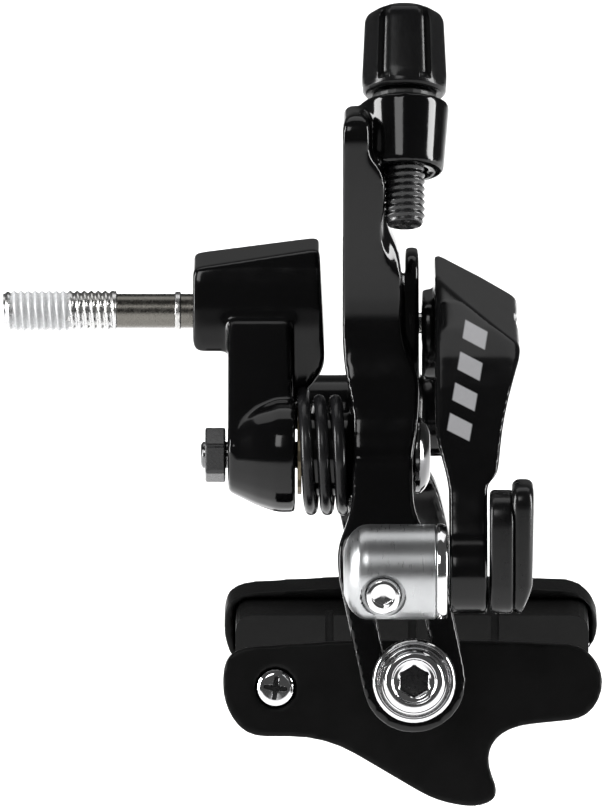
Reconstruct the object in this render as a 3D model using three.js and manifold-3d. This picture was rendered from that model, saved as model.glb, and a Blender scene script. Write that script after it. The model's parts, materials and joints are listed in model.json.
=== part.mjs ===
// Dual-pivot rim brake caliper, millimetres.
// +X points to the front of the bicycle, +Y away from the adjuster side, +Z up.
// The origin is on the mounting stud's axis, at the bracket's rear contact face.
// Outlines seen from the front are given as [u, z]: u is measured from the centre
// plane towards the adjuster side, so y = -u.
import * as THREE from "three";
import { mergeVertices } from "three/addons/utils/BufferGeometryUtils.js";
import Module from "manifold-3d";

const wasm = await Module();
wasm.setup();

// ---------------------------------------------------------------- driving sizes
const GAP = 0.3;                        // clearance between pieces that touch
const ARM_OPENING = THREE.MathUtils.degToRad(9);    // arms stand this far open at rest
const ARM_TRAVEL = THREE.MathUtils.degToRad(12);    // full closing travel of each arm
const PIVOT_OFFSET = 17.5;              // each arm pivot from the centre plane
const PIVOT_Z = -18;                    // arm pivots below the stud
const REACH = 49.9;                     // pad bolt below the stud, arms closed
const SLOT_TRAVEL = 10;                 // height adjustment of each shoe
const PAD_FACE_U = 12;                  // braking face from the centre plane, arms closed

const STUD_RADIUS = 2.95;
const STUD_LENGTH = 27.1;               // stud behind the contact face
const BRACKET_LENGTH = 18.1;            // contact face to the boss's front
const BRACKET_TOP = 7.3;
const BRACKET_HALF_WIDTH = 9;
const LIMB_BACK = 5;                    // bracket limb, rear and front faces
const LIMB_FRONT = 14;
const BRACKET_PIVOT_FRONT = 14.6;
const BRACKET_PIVOT_RADIUS = 8.2;

const PIVOT_BOLT_RADIUS = 3;            // bearing shank of the arm pivots
const PIVOT_THREAD_RADIUS = 1.9;
const BUSH_WALL = 0.8;
const PIVOT_HEAD_RADIUS = 5.45;
const PIVOT_HEAD_HEIGHT = 2.2;
const PIVOT_NUT_FLATS = 7;
const PIVOT_NUT_HEIGHT = 2.9;
const PIVOT_STUB = 0.6;                 // thread showing behind the nut
const PIVOT_KEY = 4;                    // hex socket across its flats
const THRUST_WASHER = 0.6;              // thickness

const ARM_BACK = 21.3;                  // adjuster arm's rear face
const ARM_FRONT = 32.2;
const ARM_TOP = 31;
const ARM_BOSS_BACK = 22.7;
const ARM_BOSS_FRONT = 31.3;
const ARM_BOSS_RADIUS = 7.7;
const ARM_NECK_RADIUS = 6;
const TAB_THICKNESS = 2;

const LEG_CENTRE_X = 31.4;              // pad bolt's station along X
const LEG_LEAN = THREE.MathUtils.degToRad(12);      // slot leans forward going down
const LEG_HALF_WIDTH = 7.4;
const LEG_OUTER_U = 32.5;
const LEG_THICKNESS = 4.5;

const ANCHOR_BACK = 34.4;               // anchor arm's rear face
const ANCHOR_DEPTH = 12.5;
const ANCHOR_HALF_BAND = 4.9;           // half the arch's height
const ANCHOR_BOSS_FRONT = 38.4;
const ANCHOR_NOSE_RADIUS = 5.8;

const LINK_U = 0;                       // link roller at rest
const LINK_Z = -1.75;
const LINK_ROLLER_RADIUS = 2.6;
const LINK_PIN_RADIUS = 1.5;
const LINK_PIN_HEAD = 2.4;              // radius of its riveted head
const LINK_SLOT_DEPTH = 4.6;

const BARREL_X = 30.1;                  // cable adjuster's axis
const BARREL_U = 12;
const BARREL_Z = 26.6;
const BARREL_LEAN = THREE.MathUtils.degToRad(26);
const BARREL_BOSS_LENGTH = 10;
const BARREL_BOSS_TOP_RADIUS = 6.45;
const BARREL_BOSS_FOOT_RADIUS = 5.6;
const BARREL_RADIUS = 2.95;
const BARREL_TAIL = 7.8;                // thread showing under the boss at rest
const BARREL_TRAVEL = 6;
const KNOB_LENGTH = 13.6;
const KNOB_RADIUS = 6;
const KNOB_LOBES = 6;
const KNOB_GROOVE_RADIUS = 1.1;
const DETENT_RADIUS = 4.7;
const HOUSING_RADIUS = 2.2;             // brake cable housing socket
const CABLE_RADIUS = 1;

const RELEASE_U = 43.5;                 // quick-release axis
const RELEASE_Z = -30.5;
const RELEASE_BOSS_RADIUS = 5.95;
const RELEASE_BOSS_BACK = 36.3;
const RELEASE_BOSS_FRONT = 41.7;
const RELEASE_JOURNAL_RADIUS = 3.3;
const RELEASE_THROW = 1.4;              // eccentric throw
const RELEASE_PIN_RADIUS = 2.4;
const CLAMP_RADIUS = 6.7;
const CLAMP_LENGTH = 14.6;
const CLAMP_SCREW_X = 27;
const CLAMP_SCREW_RADIUS = 2.65;
const CLAMP_SCREW_DROP = 2.6;           // screw below the quick-release axis
const CLAMP_SCREW_KEY = 2.5;
const CABLE_OFFSET = 3.4;               // cable in front of the quick-release axis
const LEVER_PLATE = 3.4;
const LEVER_THICKNESS = 2.8;
const LEVER_HALF_WIDTH = 5.6;
const PLATE_UP = 11.5;
const LEVER_UP = 12.9;
const LEVER_DOWN = 5.7;

const SHOE_BACK_U = 24.4;               // shoe holder's outer face, arms closed
const HOLDER_WALL = 2.6;
const PAD_POCKET = 3.2;
const PAD_BOLT_RADIUS = 3;
const SLOT_RADIUS = PAD_BOLT_RADIUS + GAP;  // half the width of the leg's slot
const PAD_BOLT_KEY = 4;                 // hex socket across its flats
const PAD_BOLT_HEAD_RADIUS = 4.45;
const PAD_BOLT_HEAD_HEIGHT = 3.4;
const DISH_RADIUS = 5.95;
const DISH_THICKNESS = 1.7;
const PAD_SCREW_RADIUS = 1.5;
const PAD_SCREW_FLANGE = 1.1;           // screw head beyond its thread
const PAD_SCREW_BACK = 19.6;            // screw behind and below the pad bolt
const PAD_SCREW_DROP = 1.1;
const PAD_GROOVE_GAP = 11.9;
const PAD_GROOVE_HALF = 0.6;
const PAD_GROOVE_DEPTH = 2.4;

const SPRING_WIRE_RADIUS = 0.85;
const SPRING_COIL_RADIUS = 7.7;         // to the wire's centre
const SPRING_TURNS = 2.5;
const SPRING_PITCH = 2.3;
const SPRING_LEG = 7.6;                 // straight ends of the spring

const NEAR = -1;                        // adjuster side, signs of y
const FAR = 1;
const AXIS_X = new THREE.Vector3(1, 0, 0);
const THROUGH = 80;                     // longer than any cut or view needs

// ---------------------------------------------------------------- materials
const finishes = {
  paint: { color: 0x0b0b0d, roughness: 0.22, metalness: 0.2 },
  matte: { color: 0x141415, roughness: 0.7, metalness: 0 },
  rubber: { color: 0x1b1b1c, roughness: 0.9, metalness: 0 },
  steel: { color: 0x8c8e92, roughness: 0.35, metalness: 1 },
  chrome: { color: 0xd8dade, roughness: 0.12, metalness: 1 },
  aluminium: { color: 0xb9bcc0, roughness: 0.35, metalness: 1 },
  blackSteel: { color: 0x1e1f22, roughness: 0.4, metalness: 0.8 },
  plastic: { color: 0x0d0d0e, roughness: 0.35, metalness: 0 },
  nylon: { color: 0x242426, roughness: 0.6, metalness: 0 },
  bronze: { color: 0x8d6a35, roughness: 0.45, metalness: 1 },
};

// ---------------------------------------------------------------- solid helpers
/** Makes a boolean-ready solid from a closed three.js geometry. */
function solid(geometry) {
  const bare = geometry.index ? geometry.toNonIndexed() : geometry.clone();
  bare.deleteAttribute("normal");
  bare.deleteAttribute("uv");
  const merged = mergeVertices(bare, 1e-4);
  const index = merged.index.array;
  const triangles = [];
  for (let i = 0; i < index.length; i += 3) {
    const [a, b, c] = [index[i], index[i + 1], index[i + 2]];
    if (a !== b && b !== c && c !== a) triangles.push(a, b, c);
  }
  return new wasm.Manifold(new wasm.Mesh({
    numProp: 3,
    vertProperties: Float32Array.from(merged.attributes.position.array),
    triVerts: Uint32Array.from(triangles),
  }));
}

/** Turns a solid back into a three.js geometry. */
function surface(body) {
  const mesh = body.getMesh();
  const geometry = new THREE.BufferGeometry();
  geometry.setAttribute("position", new THREE.BufferAttribute(mesh.vertProperties, 3));
  geometry.setIndex(new THREE.BufferAttribute(mesh.triVerts, 1));
  return geometry;
}

/** A closed shape whose corners [a, b, setback] are rounded from their setback. */
function roundedShape(corners) {
  const points = corners.map(([a, b]) => new THREE.Vector2(a, b));
  const count = points.length;
  const shape = new THREE.Shape();
  corners.forEach(([, , setback = 0], i) => {
    const here = points[i];
    const before = points[(i + count - 1) % count];
    const after = points[(i + 1) % count];
    const into = here.clone().lerp(before, Math.min(0.5, setback / here.distanceTo(before)));
    const out = here.clone().lerp(after, Math.min(0.5, setback / here.distanceTo(after)));
    if (i === 0) shape.moveTo(into.x, into.y);
    else shape.lineTo(into.x, into.y);
    if (setback > 0) shape.quadraticCurveTo(here.x, here.y, out.x, out.y);
  });
  shape.closePath();
  return shape;
}

/** Extrudes a shape of (y, z) along X. */
function prismX(shape, fromX, toX, curveSegments = 4) {
  const settings = { depth: toX - fromX, bevelEnabled: false, curveSegments };
  const geometry = new THREE.ExtrudeGeometry(shape, settings);
  const basis = new THREE.Matrix4().makeBasis(
    new THREE.Vector3(0, 1, 0), new THREE.Vector3(0, 0, 1), AXIS_X);
  return geometry.applyMatrix4(basis).translate(fromX, 0, 0);
}

/** Extrudes a shape of (x, z) along Y. */
function prismY(shape, fromY, toY, curveSegments = 4) {
  const settings = { depth: toY - fromY, bevelEnabled: false, curveSegments };
  const geometry = new THREE.ExtrudeGeometry(shape, settings);
  return geometry.rotateX(Math.PI / 2).translate(0, toY, 0);
}

/** Corners given as [u, z, setback] become a front-view shape of (y, z). */
function frontShape(corners, side = NEAR) {
  return roundedShape(corners.map(([u, z, setback]) => [side * u, z, setback]));
}

/** Revolves [radius, distance] steps about a line that starts at a point. */
function turned(profile, start, direction, segments = 24) {
  const first = profile[0];
  const last = profile[profile.length - 1];
  const points = profile.map(([radius, along]) => new THREE.Vector2(radius, along));
  if (first[0] > 0) points.unshift(new THREE.Vector2(0, first[1]));
  if (last[0] > 0) points.push(new THREE.Vector2(0, last[1]));
  const geometry = new THREE.LatheGeometry(points, segments);
  const turn = new THREE.Quaternion().setFromUnitVectors(
    new THREE.Vector3(0, 1, 0), direction.clone().normalize());
  return geometry.applyQuaternion(turn).translate(start.x, start.y, start.z);
}

/** A plain round bar between two distances along a line. */
function bar(radius, from, to, start, direction, segments = 24) {
  return turned([[radius, from], [radius, to]], start, direction, segments);
}

/** A ring: a round bar with a bore right through it. */
function ring(outer, inner, from, to, start, direction, segments = 24) {
  const body = solid(bar(outer, from, to, start, direction, segments));
  return body.subtract(solid(bar(inner, from - 1, to + 1, start, direction, segments)));
}

/** A hexagonal bar, measured across its flats. */
function hexBar(flats, from, to, start, direction) {
  return turned([[flats / Math.sqrt(3), from], [flats / Math.sqrt(3), to]], start, direction, 6);
}

/** The point where a side's arm pivot crosses x = 0. */
function pivotPoint(side) {
  return new THREE.Vector3(0, side * PIVOT_OFFSET, PIVOT_Z);
}

/** Moves a geometry drawn with the arms closed to where the open arm holds it. */
function opened(geometry, side) {
  const pivot = pivotPoint(side);
  return geometry.translate(-pivot.x, -pivot.y, -pivot.z)
    .rotateX(side * ARM_OPENING)
    .translate(pivot.x, pivot.y, pivot.z);
}

// ---------------------------------------------------------------- scene
const group = new THREE.Group();

/** Adds a named mesh with its own material. */
function add(name, shape, finish, parent = group) {
  const geometry = shape instanceof THREE.BufferGeometry ? shape : surface(shape);
  const material = new THREE.MeshStandardMaterial({ ...finishes[finish] });
  const mesh = new THREE.Mesh(geometry, material);
  mesh.name = name;
  parent.add(mesh);
  return mesh;
}

// ---------------------------------------------------------------- bracket and stud
const STUD_BORE = STUD_RADIUS + GAP;
const STUD_HEAD_RADIUS = 5;
const STUD_HEAD_HEIGHT = 3;

function makeStud() {
  const profile = [
    [STUD_RADIUS - 0.5, -STUD_LENGTH],
    [STUD_RADIUS, -STUD_LENGTH + 0.8],
    [STUD_RADIUS, BRACKET_LENGTH - STUD_HEAD_HEIGHT],
    [STUD_HEAD_RADIUS, BRACKET_LENGTH - STUD_HEAD_HEIGHT],
    [STUD_HEAD_RADIUS, BRACKET_LENGTH - 0.4],
  ];
  return turned(profile, new THREE.Vector3(), AXIS_X);
}

function makeBracket() {
  const bossSide = prismY(roundedShape([
    [0, -4.6, 1.5], [0, BRACKET_TOP, 1], [BRACKET_LENGTH, BRACKET_TOP + 2.6, 1],
    [BRACKET_LENGTH + 0.8, -7, 2], [LIMB_FRONT - 0.3, -13.5, 2], [LIMB_BACK, -13.5, 1],
    [LIMB_BACK, -4.6, 0.5],
  ]), -BRACKET_HALF_WIDTH, BRACKET_HALF_WIDTH);
  const bossFront = prismX(frontShape([
    [BRACKET_HALF_WIDTH, -14, 3], [BRACKET_HALF_WIDTH, 6, 7], [4, 12, 3], [-4, 12, 3],
    [-BRACKET_HALF_WIDTH, 6, 7], [-BRACKET_HALF_WIDTH, -14, 3],
  ]), -1, BRACKET_LENGTH + 2);
  const boss = solid(bossSide).intersect(solid(bossFront));
  const foot = PIVOT_OFFSET + BRACKET_PIVOT_RADIUS - 1.6;
  const limbs = solid(prismX(frontShape([
    [foot, PIVOT_Z + 1, 3], [BRACKET_HALF_WIDTH - 0.4, 1.5, 4],
    [0.4 - BRACKET_HALF_WIDTH, 1.5, 4], [-foot, PIVOT_Z + 1, 3],
    [-PIVOT_OFFSET, PIVOT_Z - 5, 4], [-9, -13, 4], [9, -13, 4], [PIVOT_OFFSET, PIVOT_Z - 5, 4],
  ]), LIMB_BACK, LIMB_FRONT));
  let bracket = boss.add(limbs);
  for (const side of [NEAR, FAR]) {
    const pivotBoss = turned([
      [BRACKET_PIVOT_RADIUS - 3, LIMB_BACK], [BRACKET_PIVOT_RADIUS - 1, LIMB_BACK + 4],
      [BRACKET_PIVOT_RADIUS, LIMB_FRONT - 2], [BRACKET_PIVOT_RADIUS, BRACKET_PIVOT_FRONT],
    ], pivotPoint(side), AXIS_X);
    bracket = bracket.add(solid(pivotBoss));
  }
  for (const side of [NEAR, FAR]) {
    const thread = bar(PIVOT_THREAD_RADIUS + GAP, 0, THROUGH, pivotPoint(side), AXIS_X, 16);
    bracket = bracket.subtract(solid(thread));
  }
  const headSeat = BRACKET_LENGTH - STUD_HEAD_HEIGHT - GAP;
  const centre = new THREE.Vector3();
  return bracket
    .subtract(solid(bar(STUD_BORE, -THROUGH, THROUGH, centre, AXIS_X)))
    .subtract(solid(bar(STUD_HEAD_RADIUS + GAP, headSeat, THROUGH, centre, AXIS_X)));
}

// ---------------------------------------------------------------- arm pivots
const BUSH_INNER = PIVOT_BOLT_RADIUS + GAP;
const BUSH_OUTER = BUSH_INNER + BUSH_WALL;
const BUSH_SEAT = BUSH_OUTER + GAP;
const HEAD_SEAT_RADIUS = PIVOT_HEAD_RADIUS + 0.8;
const SHOULDER_X = BRACKET_PIVOT_FRONT + GAP;
const NECK_BACK = SHOULDER_X + THRUST_WASHER + GAP;
const NUT_FRONT = LIMB_BACK - GAP;

/** Front face of each side's pivot boss. */
function bossFront(side) {
  return side === NEAR ? ARM_BOSS_FRONT : ANCHOR_BOSS_FRONT;
}

function makePivot(side, label) {
  const at = pivotPoint(side);
  const headX = bossFront(side) + GAP;
  const nutBack = NUT_FRONT - PIVOT_NUT_HEIGHT;
  const bolt = solid(turned([
    [PIVOT_THREAD_RADIUS, side === NEAR ? nutBack - PIVOT_STUB : LIMB_BACK + GAP],
    [PIVOT_THREAD_RADIUS, SHOULDER_X],
    [PIVOT_BOLT_RADIUS, SHOULDER_X],
    [PIVOT_BOLT_RADIUS, headX],
    [PIVOT_HEAD_RADIUS, headX],
    [PIVOT_HEAD_RADIUS, headX + 0.5],
    [PIVOT_HEAD_RADIUS * 0.86, headX + 1.4],
    [PIVOT_HEAD_RADIUS * 0.55, headX + PIVOT_HEAD_HEIGHT],
  ], at, AXIS_X)).subtract(solid(hexBar(PIVOT_KEY, headX + 0.6, THROUGH, at, AXIS_X)));
  add(`${label}_pivot_bolt`, bolt, "chrome");
  if (side === NEAR) {
    const nut = solid(hexBar(PIVOT_NUT_FLATS, nutBack, NUT_FRONT, at, AXIS_X))
      .subtract(solid(bar(PIVOT_THREAD_RADIUS + GAP, 0, THROUGH, at, AXIS_X, 16)));
    add(`${label}_pivot_nut`, nut, "blackSteel");
  }
  const washer = ring(
    ARM_NECK_RADIUS - 0.4, BUSH_INNER, SHOULDER_X, SHOULDER_X + THRUST_WASHER, at, AXIS_X);
  add(`${label}_thrust_washer`, washer, "bronze");
  const bush = ring(BUSH_OUTER, BUSH_INNER, NECK_BACK + 0.2, bossFront(side) - 0.2, at, AXIS_X);
  add(`${label}_pivot_bush`, bush, "bronze");
}

// ---------------------------------------------------------------- arm legs
const slotDown = new THREE.Vector2(Math.sin(LEG_LEAN), -Math.cos(LEG_LEAN));
const slotSide = new THREE.Vector2(Math.cos(LEG_LEAN), Math.sin(LEG_LEAN));
const LEG_INNER_U = LEG_OUTER_U - LEG_THICKNESS;

/** A point of the leg's side view: so far up the slot, so far to its front. */
function legPoint(up, forward) {
  return new THREE.Vector2(LEG_CENTRE_X, -REACH)
    .addScaledVector(slotDown, -up)
    .addScaledVector(slotSide, forward);
}

/** The slotted leg of one arm, with the arms closed and then swung open. */
function makeLeg(side) {
  const half = LEG_HALF_WIDTH;
  const lowBack = legPoint(0, -half);
  const highBack = legPoint(SLOT_TRAVEL + 10, -half);
  const highFront = legPoint(SLOT_TRAVEL + 7, half);
  const lowFront = legPoint(0, half);
  const shape = roundedShape([
    [lowBack.x, lowBack.y, 0], [highBack.x, highBack.y, 4],
    [ARM_BOSS_BACK, PIVOT_Z - 8, 3], [ARM_BOSS_BACK, PIVOT_Z, 0],
    [ARM_BOSS_FRONT, PIVOT_Z, 0], [ARM_BOSS_FRONT, PIVOT_Z - 8.5, 3],
    [highFront.x, highFront.y, 4], [lowFront.x, lowFront.y, 0],
  ]);
  const foot = legPoint(0, 0);
  const across = new THREE.Vector3(0, 1, 0);
  const footPoint = new THREE.Vector3(foot.x, 0, foot.y);
  const sideView = solid(prismY(shape, -THROUGH, THROUGH))
    .add(solid(bar(half, -THROUGH, THROUGH, footPoint, across)));
  const top = -REACH + SLOT_TRAVEL + DISH_RADIUS;
  const frontView = solid(prismX(frontShape([
    [LEG_OUTER_U, -REACH - 12, 0], [LEG_OUTER_U, top + 2, 6], [PIVOT_OFFSET + 8, PIVOT_Z, 4],
    [PIVOT_OFFSET, PIVOT_Z + 4.5, 2], [PIVOT_OFFSET - 6.5, PIVOT_Z - 0.5, 2],
    [PIVOT_OFFSET + 3, PIVOT_Z - 8.5, 3],
    [LEG_INNER_U, top + 2.4, 2], [LEG_INNER_U, -REACH - 12, 0],
  ], side), 0, THROUGH));
  const leg = sideView.intersect(frontView).subtract(makeSlot(side));
  return solid(opened(surface(leg), side));
}

function makeSlot(side) {
  const across = new THREE.Vector3(0, side, 0);
  const low = legPoint(-0.3, 0);
  const high = legPoint(SLOT_TRAVEL + 0.3, 0);
  const ends = [low, high].map((end) => new THREE.Vector3(end.x, 0, end.y));
  const cut = [
    legPoint(-0.3, -SLOT_RADIUS), legPoint(-0.3, SLOT_RADIUS),
    legPoint(SLOT_TRAVEL + 0.3, SLOT_RADIUS), legPoint(SLOT_TRAVEL + 0.3, -SLOT_RADIUS),
  ].map((point) => [point.x, point.y, 0]);
  const [from, to] = [LEG_INNER_U - 2, LEG_OUTER_U + 2];
  const [lowY, highY] = side === NEAR ? [-to, -from] : [from, to];
  return solid(prismY(roundedShape(cut), lowY, highY))
    .add(solid(bar(SLOT_RADIUS, from, to, ends[0], across)))
    .add(solid(bar(SLOT_RADIUS, from, to, ends[1], across)));
}

// ---------------------------------------------------------------- adjuster arm
const barrelAxis = new THREE.Vector3(0, Math.sin(BARREL_LEAN), Math.cos(BARREL_LEAN));
const barrelCentre = new THREE.Vector3(BARREL_X, -BARREL_U, BARREL_Z);
const BARREL_BORE = BARREL_RADIUS + GAP;
const TAB_BACK = ARM_FRONT - TAB_THICKNESS;
const linkPoint = new THREE.Vector3(0, -LINK_U, LINK_Z);

function makeAdjusterArm() {
  const frontView = solid(prismX(frontShape([
    [PIVOT_OFFSET + 7.4, PIVOT_Z, 3], [PIVOT_OFFSET + 6.5, -12.3, 5], [18, -4.8, 5],
    [17, 4.1, 6], [18.8, 17.6, 6], [19.5, ARM_TOP, 4], [5.5, ARM_TOP, 4], [5.5, 20.9, 5],
    [7.5, 3.1, 6], [8, -8.7, 4], [PIVOT_OFFSET - 7, PIVOT_Z, 3],
  ]), ARM_BACK, ARM_FRONT));
  const sideView = solid(prismY(roundedShape([
    [ARM_BOSS_BACK, -10.4, 2], [ARM_BACK, -4.5, 4], [ARM_BACK, ARM_TOP, 2.5],
    [25.2, ARM_TOP, 2.5], [25.2, 25.1, 1], [27.4, 22.2, 2], [27.4, 14.4, 3], [29.7, 10.4, 4],
    [29.7, -1.9, 3], [ARM_FRONT, -6.3, 2], [ARM_FRONT, -10.2, 3],
    [ARM_BOSS_FRONT, PIVOT_Z, 1], [ARM_BOSS_BACK, PIVOT_Z, 1],
  ]), -THROUGH, THROUGH));
  const half = BARREL_BOSS_LENGTH / 2;
  const barrelBoss = solid(turned([
    [BARREL_BOSS_FOOT_RADIUS, -half], [BARREL_BOSS_TOP_RADIUS, half],
  ], barrelCentre, barrelAxis));
  const tab = solid(prismX(frontShape([
    [14.5, -11.8, 3], [15.5, -5, 3], [9, 2, 3], [6.5, 9.2, 3], [-3, 9.2, 3],
    [-4.5, 2, 3], [-4.2, -5.5, 4], [4, -9, 4],
  ]), TAB_BACK, ARM_FRONT));
  const at = pivotPoint(NEAR);
  const boss = solid(bar(ARM_BOSS_RADIUS, ARM_BOSS_BACK, ARM_BOSS_FRONT, at, AXIS_X));
  const neck = solid(bar(ARM_NECK_RADIUS, NECK_BACK, ARM_BOSS_BACK + 1, at, AXIS_X));
  return frontView.intersect(sideView)
    .add(barrelBoss).add(tab).add(boss).add(neck).add(makeLeg(NEAR))
    .subtract(solid(bar(BUSH_SEAT, 0, THROUGH, at, AXIS_X)))
    .subtract(solid(bar(HEAD_SEAT_RADIUS, ARM_BOSS_FRONT, THROUGH, at, AXIS_X)))
    .subtract(solid(bar(BARREL_BORE, -THROUGH, THROUGH, barrelCentre, barrelAxis, 16)))
    .subtract(solid(bar(LINK_PIN_RADIUS + GAP, 0, THROUGH, linkPoint, AXIS_X, 16)));
}

// ---------------------------------------------------------------- link between the arms
const LINK_BACK = ARM_FRONT + GAP + 0.1;
const ROLLER_FRONT = LINK_BACK + LINK_SLOT_DEPTH - 2 * GAP;
const LINK_SLOT_RADIUS = LINK_ROLLER_RADIUS + GAP;

/** Where the roller sits in the anchor arm, as [u, z], once both arms have closed by an angle. */
function rollerPath(angle) {
  const centre = new THREE.Vector2(0, 0);
  const onAdjusterArm = new THREE.Vector2(LINK_U - PIVOT_OFFSET, LINK_Z - PIVOT_Z)
    .rotateAround(centre, -angle);
  const fromAnchorPivot = onAdjusterArm.add(new THREE.Vector2(2 * PIVOT_OFFSET, 0))
    .rotateAround(centre, -angle);
  return [fromAnchorPivot.x - PIVOT_OFFSET, fromAnchorPivot.y + PIVOT_Z];
}

/** The curved slot that the roller runs in: its path, widened by the roller. */
function makeLinkSlot(from, to) {
  const steps = 6;
  const slack = ARM_TRAVEL / 40;
  const stations = Array.from({ length: steps + 1 }, (_, i) => {
    return rollerPath(THREE.MathUtils.lerp(-slack, ARM_TRAVEL + slack, i / steps));
  });
  let slot = null;
  stations.forEach(([u, z], i) => {
    const stop = solid(bar(LINK_SLOT_RADIUS, from, to, new THREE.Vector3(0, -u, z), AXIS_X, 16));
    slot = slot ? slot.add(stop) : stop;
    if (i === 0) return;
    const [lastU, lastZ] = stations[i - 1];
    const along = new THREE.Vector2(u - lastU, z - lastZ).normalize();
    const across = [-along.y * LINK_SLOT_RADIUS, along.x * LINK_SLOT_RADIUS];
    slot = slot.add(solid(prismX(frontShape([
      [lastU + across[0], lastZ + across[1]], [u + across[0], z + across[1]],
      [u - across[0], z - across[1]], [lastU - across[0], lastZ - across[1]],
    ]), from, to)));
  });
  return slot;
}

function makeLink() {
  const pin = turned([
    [LINK_PIN_HEAD, TAB_BACK - GAP - 0.9], [LINK_PIN_HEAD, TAB_BACK - GAP],
    [LINK_PIN_RADIUS, TAB_BACK - GAP], [LINK_PIN_RADIUS, ROLLER_FRONT],
  ], linkPoint, AXIS_X, 16);
  add("link_pin", pin, "steel");
  const roller = ring(
    LINK_ROLLER_RADIUS, LINK_PIN_RADIUS + GAP, LINK_BACK, ROLLER_FRONT, linkPoint, AXIS_X, 16);
  add("link_roller", roller, "nylon");
}

// ---------------------------------------------------------------- anchor arm
const releasePoint = new THREE.Vector3(0, -RELEASE_U, RELEASE_Z);

function makeAnchorArm() {
  const centreLine = [
    [-PIVOT_OFFSET - 1, PIVOT_Z - 2], [-PIVOT_OFFSET, -8], [-9, 1.9], [4, 3.9], [17, -0.6],
    [29, -9.9], [38, -20.6], [RELEASE_U, RELEASE_Z],
  ].map(([u, z]) => new THREE.Vector3(0, -u, z));
  const band = ANCHOR_HALF_BAND;
  const section = roundedShape([
    [0, -band, 1], [0, band, 1], [-ANCHOR_DEPTH, band, 1], [-ANCHOR_DEPTH, -band, 2],
  ]);
  const arch = new THREE.ExtrudeGeometry(section, {
    steps: 18, curveSegments: 2, bevelEnabled: false,
    extrudePath: new THREE.CatmullRomCurve3(centreLine, false, "centripetal"),
  });
  arch.computeBoundingBox();
  arch.translate(ANCHOR_BACK - arch.boundingBox.min.x, 0, 0);
  const leverTop = RELEASE_Z + PLATE_UP + 0.8;
  const foot = RELEASE_Z - 14;
  const sideView = solid(prismY(roundedShape([
    [ANCHOR_BACK - 2, 7, 0], [ANCHOR_BACK, 7, 0], [ANCHOR_BACK + ANCHOR_DEPTH, -1.2, 1.5],
    [44.1, -9.4, 4], [43.2, leverTop + 1, 1],
    [RELEASE_BOSS_FRONT, leverTop, 1], [RELEASE_BOSS_FRONT, foot, 0],
    [RELEASE_BOSS_BACK, foot, 0], [RELEASE_BOSS_BACK, -18.6, 2], [ANCHOR_BACK - 0.4, -10.8, 2],
    [ANCHOR_BACK - 2, -10.8, 0],
  ]), -THROUGH, THROUGH));
  const at = pivotPoint(FAR);
  const boss = solid(bar(ARM_BOSS_RADIUS, ARM_BOSS_BACK, ANCHOR_BACK - 2, at, AXIS_X));
  const nose = solid(bar(ANCHOR_NOSE_RADIUS, ARM_BOSS_BACK, ANCHOR_BOSS_FRONT, at, AXIS_X));
  const neck = solid(bar(ARM_NECK_RADIUS, NECK_BACK, ARM_BOSS_BACK + 1, at, AXIS_X));
  const releaseBoss = solid(bar(
    RELEASE_BOSS_RADIUS, RELEASE_BOSS_BACK, RELEASE_BOSS_FRONT, releasePoint, AXIS_X));
  const [endU, endZ] = rollerPath(ARM_TRAVEL);
  const wall = LINK_SLOT_RADIUS + 1.6;
  const lobe = solid(prismX(frontShape([
    [LINK_U - wall - 1, LINK_Z + wall, 3], [endU + wall - 1, LINK_Z + wall, 3],
    [endU + wall + 0.5, endZ - 1, 3], [endU + 1, endZ - wall - 1.6, 4],
    [LINK_U + 1, LINK_Z - wall - 3, 4], [LINK_U - wall - 2, LINK_Z - wall, 4],
  ]), LINK_BACK, ANCHOR_BACK + 5));
  return solid(arch).intersect(sideView)
    .add(boss).add(nose).add(neck).add(releaseBoss).add(lobe).add(makeLeg(FAR))
    .subtract(makeLinkSlot(LINK_BACK - 1, LINK_BACK + LINK_SLOT_DEPTH))
    .subtract(solid(bar(BUSH_SEAT, 0, THROUGH, at, AXIS_X)))
    .subtract(solid(bar(HEAD_SEAT_RADIUS, ANCHOR_BOSS_FRONT, THROUGH, at, AXIS_X)))
    .subtract(solid(bar(RELEASE_JOURNAL_RADIUS + GAP, 0, THROUGH, releasePoint, AXIS_X, 16)));
}

// ---------------------------------------------------------------- return spring
function makeSpring() {
  const at = pivotPoint(NEAR);
  const perTurn = 16;
  const firstX = BRACKET_PIVOT_FRONT + SPRING_WIRE_RADIUS + GAP;
  const inward = new THREE.Vector3(0, 1, 0);
  const points = [];
  for (let i = 0; i <= SPRING_TURNS * perTurn; i++) {
    const angle = Math.PI / 2 - (2 * Math.PI * i) / perTurn;
    points.push(new THREE.Vector3(
      firstX + (SPRING_PITCH * i) / perTurn,
      at.y - SPRING_COIL_RADIUS * Math.cos(angle),
      at.z + SPRING_COIL_RADIUS * Math.sin(angle),
    ));
  }
  const [first, last] = [points[0], points[points.length - 1]];
  const legEnds = [first, last].map((end) => end.clone().addScaledVector(inward, SPRING_LEG));
  const legMids = [first, last].map((end) => end.clone().addScaledVector(inward, SPRING_LEG / 2));
  points.unshift(legEnds[0], legMids[0]);
  points.push(legMids[1], legEnds[1]);
  const wire = new THREE.Shape().absarc(0, 0, SPRING_WIRE_RADIUS, 0, 2 * Math.PI, false);
  return new THREE.ExtrudeGeometry(wire, {
    steps: 72, curveSegments: 4, bevelEnabled: false,
    extrudePath: new THREE.CatmullRomCurve3(points, false, "centripetal"),
  });
}

// ---------------------------------------------------------------- cable adjuster
const KNOB_FOOT = BARREL_BOSS_LENGTH / 2 + 1.5;
const DETENT_FOOT = BARREL_BOSS_LENGTH / 2 + GAP;

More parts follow.
